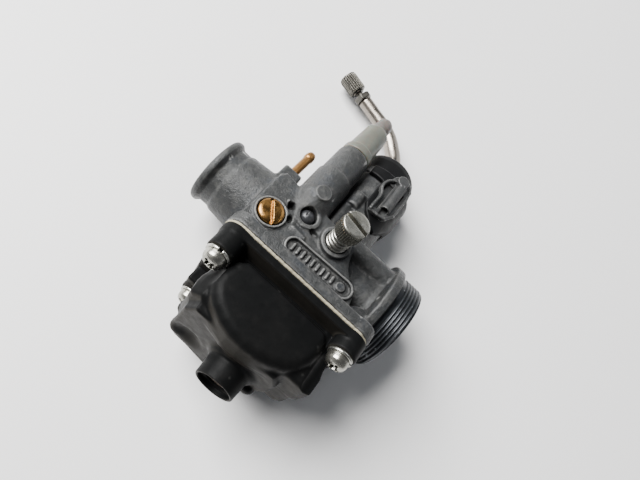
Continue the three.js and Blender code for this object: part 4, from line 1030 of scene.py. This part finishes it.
def mix_screw():
    x, y = MIX
    f = Field((x - 4.8, y - 4.8, 6.4), (x + 4.8, y + 4.8, 16.6), 0.12)
    f.add(rev("Z", MIX, [(13.0, 0), (13.0, 4.05), (13.2, 4.25), (14.9, 4.27), (15.35, 4.1), (15.65, 3.65), (15.8, 3.0), (15.88, 1.6), (15.9, 0)]), 0)
    f.add(cyl("Z", MIX, 2.0, 8.9, 13.2, 0.2), 0.1)
    f.add(cyl("Z", MIX, 0.5, 6.9, 9.2, 0.1), 0.1)
    f.cut(turned(block(x - 0.46, x + 0.46, y - 6, y + 6, 14.3, 18, 0.05), (x, y, 15), "Z", 0.636), 0.12)
    return f.mesh()


piece("mix_screw", mix_screw(), BRASS, "mixture_screw", ("mixture_screw",))


# --------------------------------------------- fuel inlet on the far side
def banjo():
    c = FUEL
    f = Field((-30.4, c[1] - 5.8, -17.4), (c[0] + 5.8, c[1] + 5.8, -12.4), 0.2)
    f.add(cyl("Z", c, 5.0, -16.6, -13.1, 0.4), 0)
    f.add(rev("X", (c[1], -14.85), [(-29.6, 0), (-29.6, 1.7), (-29.3, 1.95), (-27.4, 2.3), (-27.2, 2.25), (-27.0, 1.75), (-26.2, 1.75), (-24.0, 2.3), (-23.8, 2.25),
                                    (-23.6, 1.75), (-16, 1.75), (-16, 0)]), 0.5)
    f.cut(cyl("Z", c, 2.8, -19, -12, 0), 0.1)
    f.cut(cyl("X", (c[1], -14.85), 1.1, -31, -14, 0), 0.1)
    return f.mesh()


piece("fuel_banjo", banjo(), INLETP, ROOT, ("fuel_inlet_banjo",))


def banjo_bolt():
    c = FUEL
    f = Field((c[0] - 4.8, c[1] - 4.8, -20.5), (c[0] + 4.8, c[1] + 4.8, -9.2), 0.18)
    hexa = [(c[0] + 4.2 * math.cos(math.pi * i / 3), c[1] + 4.2 * math.sin(math.pi * i / 3)) for i in range(6)]
    f.add(prism("Z", hexa, -19.9, -17.9, 0.05), 0)
    f.keep(rev("Z", c, [(-20.0, 0), (-20.0, 3.6), (-19.3, 4.3), (-17.8, 4.3), (-17.8, 0)]), 0.1)
    f.add(cyl("Z", c, 2.45, -18.1, -9.6, 0.2), 0.1)
    return f.mesh()


piece("fuel_bolt", banjo_bolt(), BRASS, ROOT, ("banjo_bolt",))


# ----------------------------------------------------------- throttle slide
def slide():
    f = Field((-10.6, -10.4, -10.6), (10.6, 13.7, 10.6), 0.3)
    f.add(cyl("Y", (0, 0), 9.9, -9.7, 13.0, 0.25), 0)
    f.cut(cyl("Y", (0, 0), 8.4, -7.2, 15, 0.3), 0.15)
    f.cut(cyl("Y", (0, 0), 1.6, -11, -6, 0), 0.1)
    f.cut(block(IDLE[0] - 2.2, IDLE[0] + 2.2, -12, 2.65, 8.85, 12, 0.2), 0.1)
    f.cut(prism("Z", [(0, -10.4), (11, -10.4), (11, -7.7)], -11, 11, 0), 0.1)
    return f.mesh()


piece("slide_shell", slide(), SLIDEM, "throttle_slide", ("throttle_slide",), faces=90000)


# ------------------------------------- springs, each with its own copy of the mesh
def spring_on(name, VQ, node):
    ob = piece(name, VQ, STEEL, ROOT, (node,))
    ob.name = name
    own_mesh(ob)


spring_on("slide_coil", coil("Y", (0, 0), 6.9, -4.5, 44.6, 9, 0.5), "slide_return_spring")
spring_on("start_coil", coil("Y", CHOKE, 2.9, 19.2, 30.5, 4, 0.35), "choke_spring")


# ------------------------------------------------------------ floor and light
def floor():
    me = bpy.data.meshes.new("floor")
    s = 1.6
    me.from_pydata([(-s, -s, 0), (s, -s, 0), (s, s, 0), (-s, s, 0)], [], [(0, 1, 2, 3)])
    ob = bpy.data.objects.new("floor", me)
    bpy.context.scene.collection.objects.link(ob)
    m = bpy.data.materials.new("floor_board")
    m.use_nodes = True
    nt = m.node_tree
    b = nt.nodes["Principled BSDF"]
    n1 = nt.nodes.new("ShaderNodeTexNoise")
    n1.inputs["Scale"].default_value = 3.0
    n1.inputs["Detail"].default_value = 2.0
    tcf = nt.nodes.new("ShaderNodeTexCoord")
    nt.links.new(tcf.outputs["Object"], n1.inputs["Vector"])
    rf = nt.nodes.new("ShaderNodeValToRGB")
    rf.color_ramp.elements[0].position, rf.color_ramp.elements[0].color = 0.3, (0.885, 0.882, 0.88, 1)
    rf.color_ramp.elements[1].position, rf.color_ramp.elements[1].color = 0.7, (0.90, 0.897, 0.895, 1)
    nt.links.new(n1.outputs["Fac"], rf.inputs["Fac"])
    nt.links.new(rf.outputs["Color"], b.inputs["Base Color"])
    b.inputs["Roughness"].default_value = 0.5
    me.materials.append(m)


floor()


def area(name, loc, target, size, power, color=(1, 1, 1), size_y=None):
    d = bpy.data.lights.new(name, "AREA")
    d.energy, d.size, d.color = power, size, color
    if size_y:
        d.shape, d.size_y = "RECTANGLE", size_y
    ob = bpy.data.objects.new(name, d)
    ob.location = loc
    ob.rotation_euler = (Vector(target) - Vector(loc)).to_track_quat("-Z", "Y").to_euler()
    bpy.context.scene.collection.objects.link(ob)


w = bpy.data.worlds.new("studio")
w.use_nodes = True
wn, wl = w.node_tree.nodes, w.node_tree.links
tc = wn.new("ShaderNodeTexCoord")
sx = wn.new("ShaderNodeSeparateXYZ")
wl.new(tc.outputs["Generated"], sx.inputs[0])
wr = wn.new("ShaderNodeValToRGB")
wr.color_ramp.elements[0].position, wr.color_ramp.elements[0].color = 0.0, (0.42, 0.425, 0.44, 1)
wr.color_ramp.elements[1].position, wr.color_ramp.elements[1].color = 0.75, (0.07, 0.072, 0.078, 1)
mid = wr.color_ramp.elements.new(0.35)
mid.color = (0.22, 0.224, 0.235, 1)
wl.new(sx.outputs["Z"], wr.inputs["Fac"])
wl.new(wr.outputs["Color"], wn["Background"].inputs["Color"])
wn["Background"].inputs["Strength"].default_value = 1.05
bpy.context.scene.world = w

# ------------------------------------------------------------------- camera
R = np.array([[0.733, 0.541, 0.412], [-0.678, 0.625, 0.386], [-0.049, -0.563, 0.825]])
U_, _, Vt_ = np.linalg.svd(R)
R = U_ @ Vt_
t = np.array([-1.0, -7.4, -166.1])
pos = -R.T @ t
cam = bpy.data.cameras.new("camera")
cam.sensor_width, cam.sensor_fit = 36.0, "HORIZONTAL"
cam.lens = 499.0 * 36.0 / 640.0
cam.clip_start, cam.clip_end = 0.01, 10
co = bpy.data.objects.new("camera", cam)
rot = Matrix([[R[0][i], R[1][i], R[2][i]] for i in range(3)])
world_rot = TURN.to_3x3() @ rot
world_pos = TM @ Vector(pos)
co.matrix_world = Matrix.Translation(world_pos) @ world_rot.to_4x4()
bpy.context.scene.collection.objects.link(co)
bpy.context.scene.camera = co
right = world_rot @ Vector((1, 0, 0))
up = world_rot @ Vector((0, 1, 0))


def from_view(r, u, z):
    """A point r to the right and u up the picture from the object, z above the floor, in metres."""
    fr, fu = Vector((right.x, right.y, 0)).normalized(), Vector((up.x, up.y, 0)).normalized()
    return tuple(fr * r + fu * u + Vector((0, 0, z)))


area("window", from_view(-0.50, 0.55, 0.85), (0, 0, 0.01), 0.80, 53.0, (1.0, 0.994, 0.985), 0.80)
area("fill", from_view(0.75, 0.45, 0.42), (0, 0, 0.02), 0.5, 1.2, (0.92, 0.955, 1.0))

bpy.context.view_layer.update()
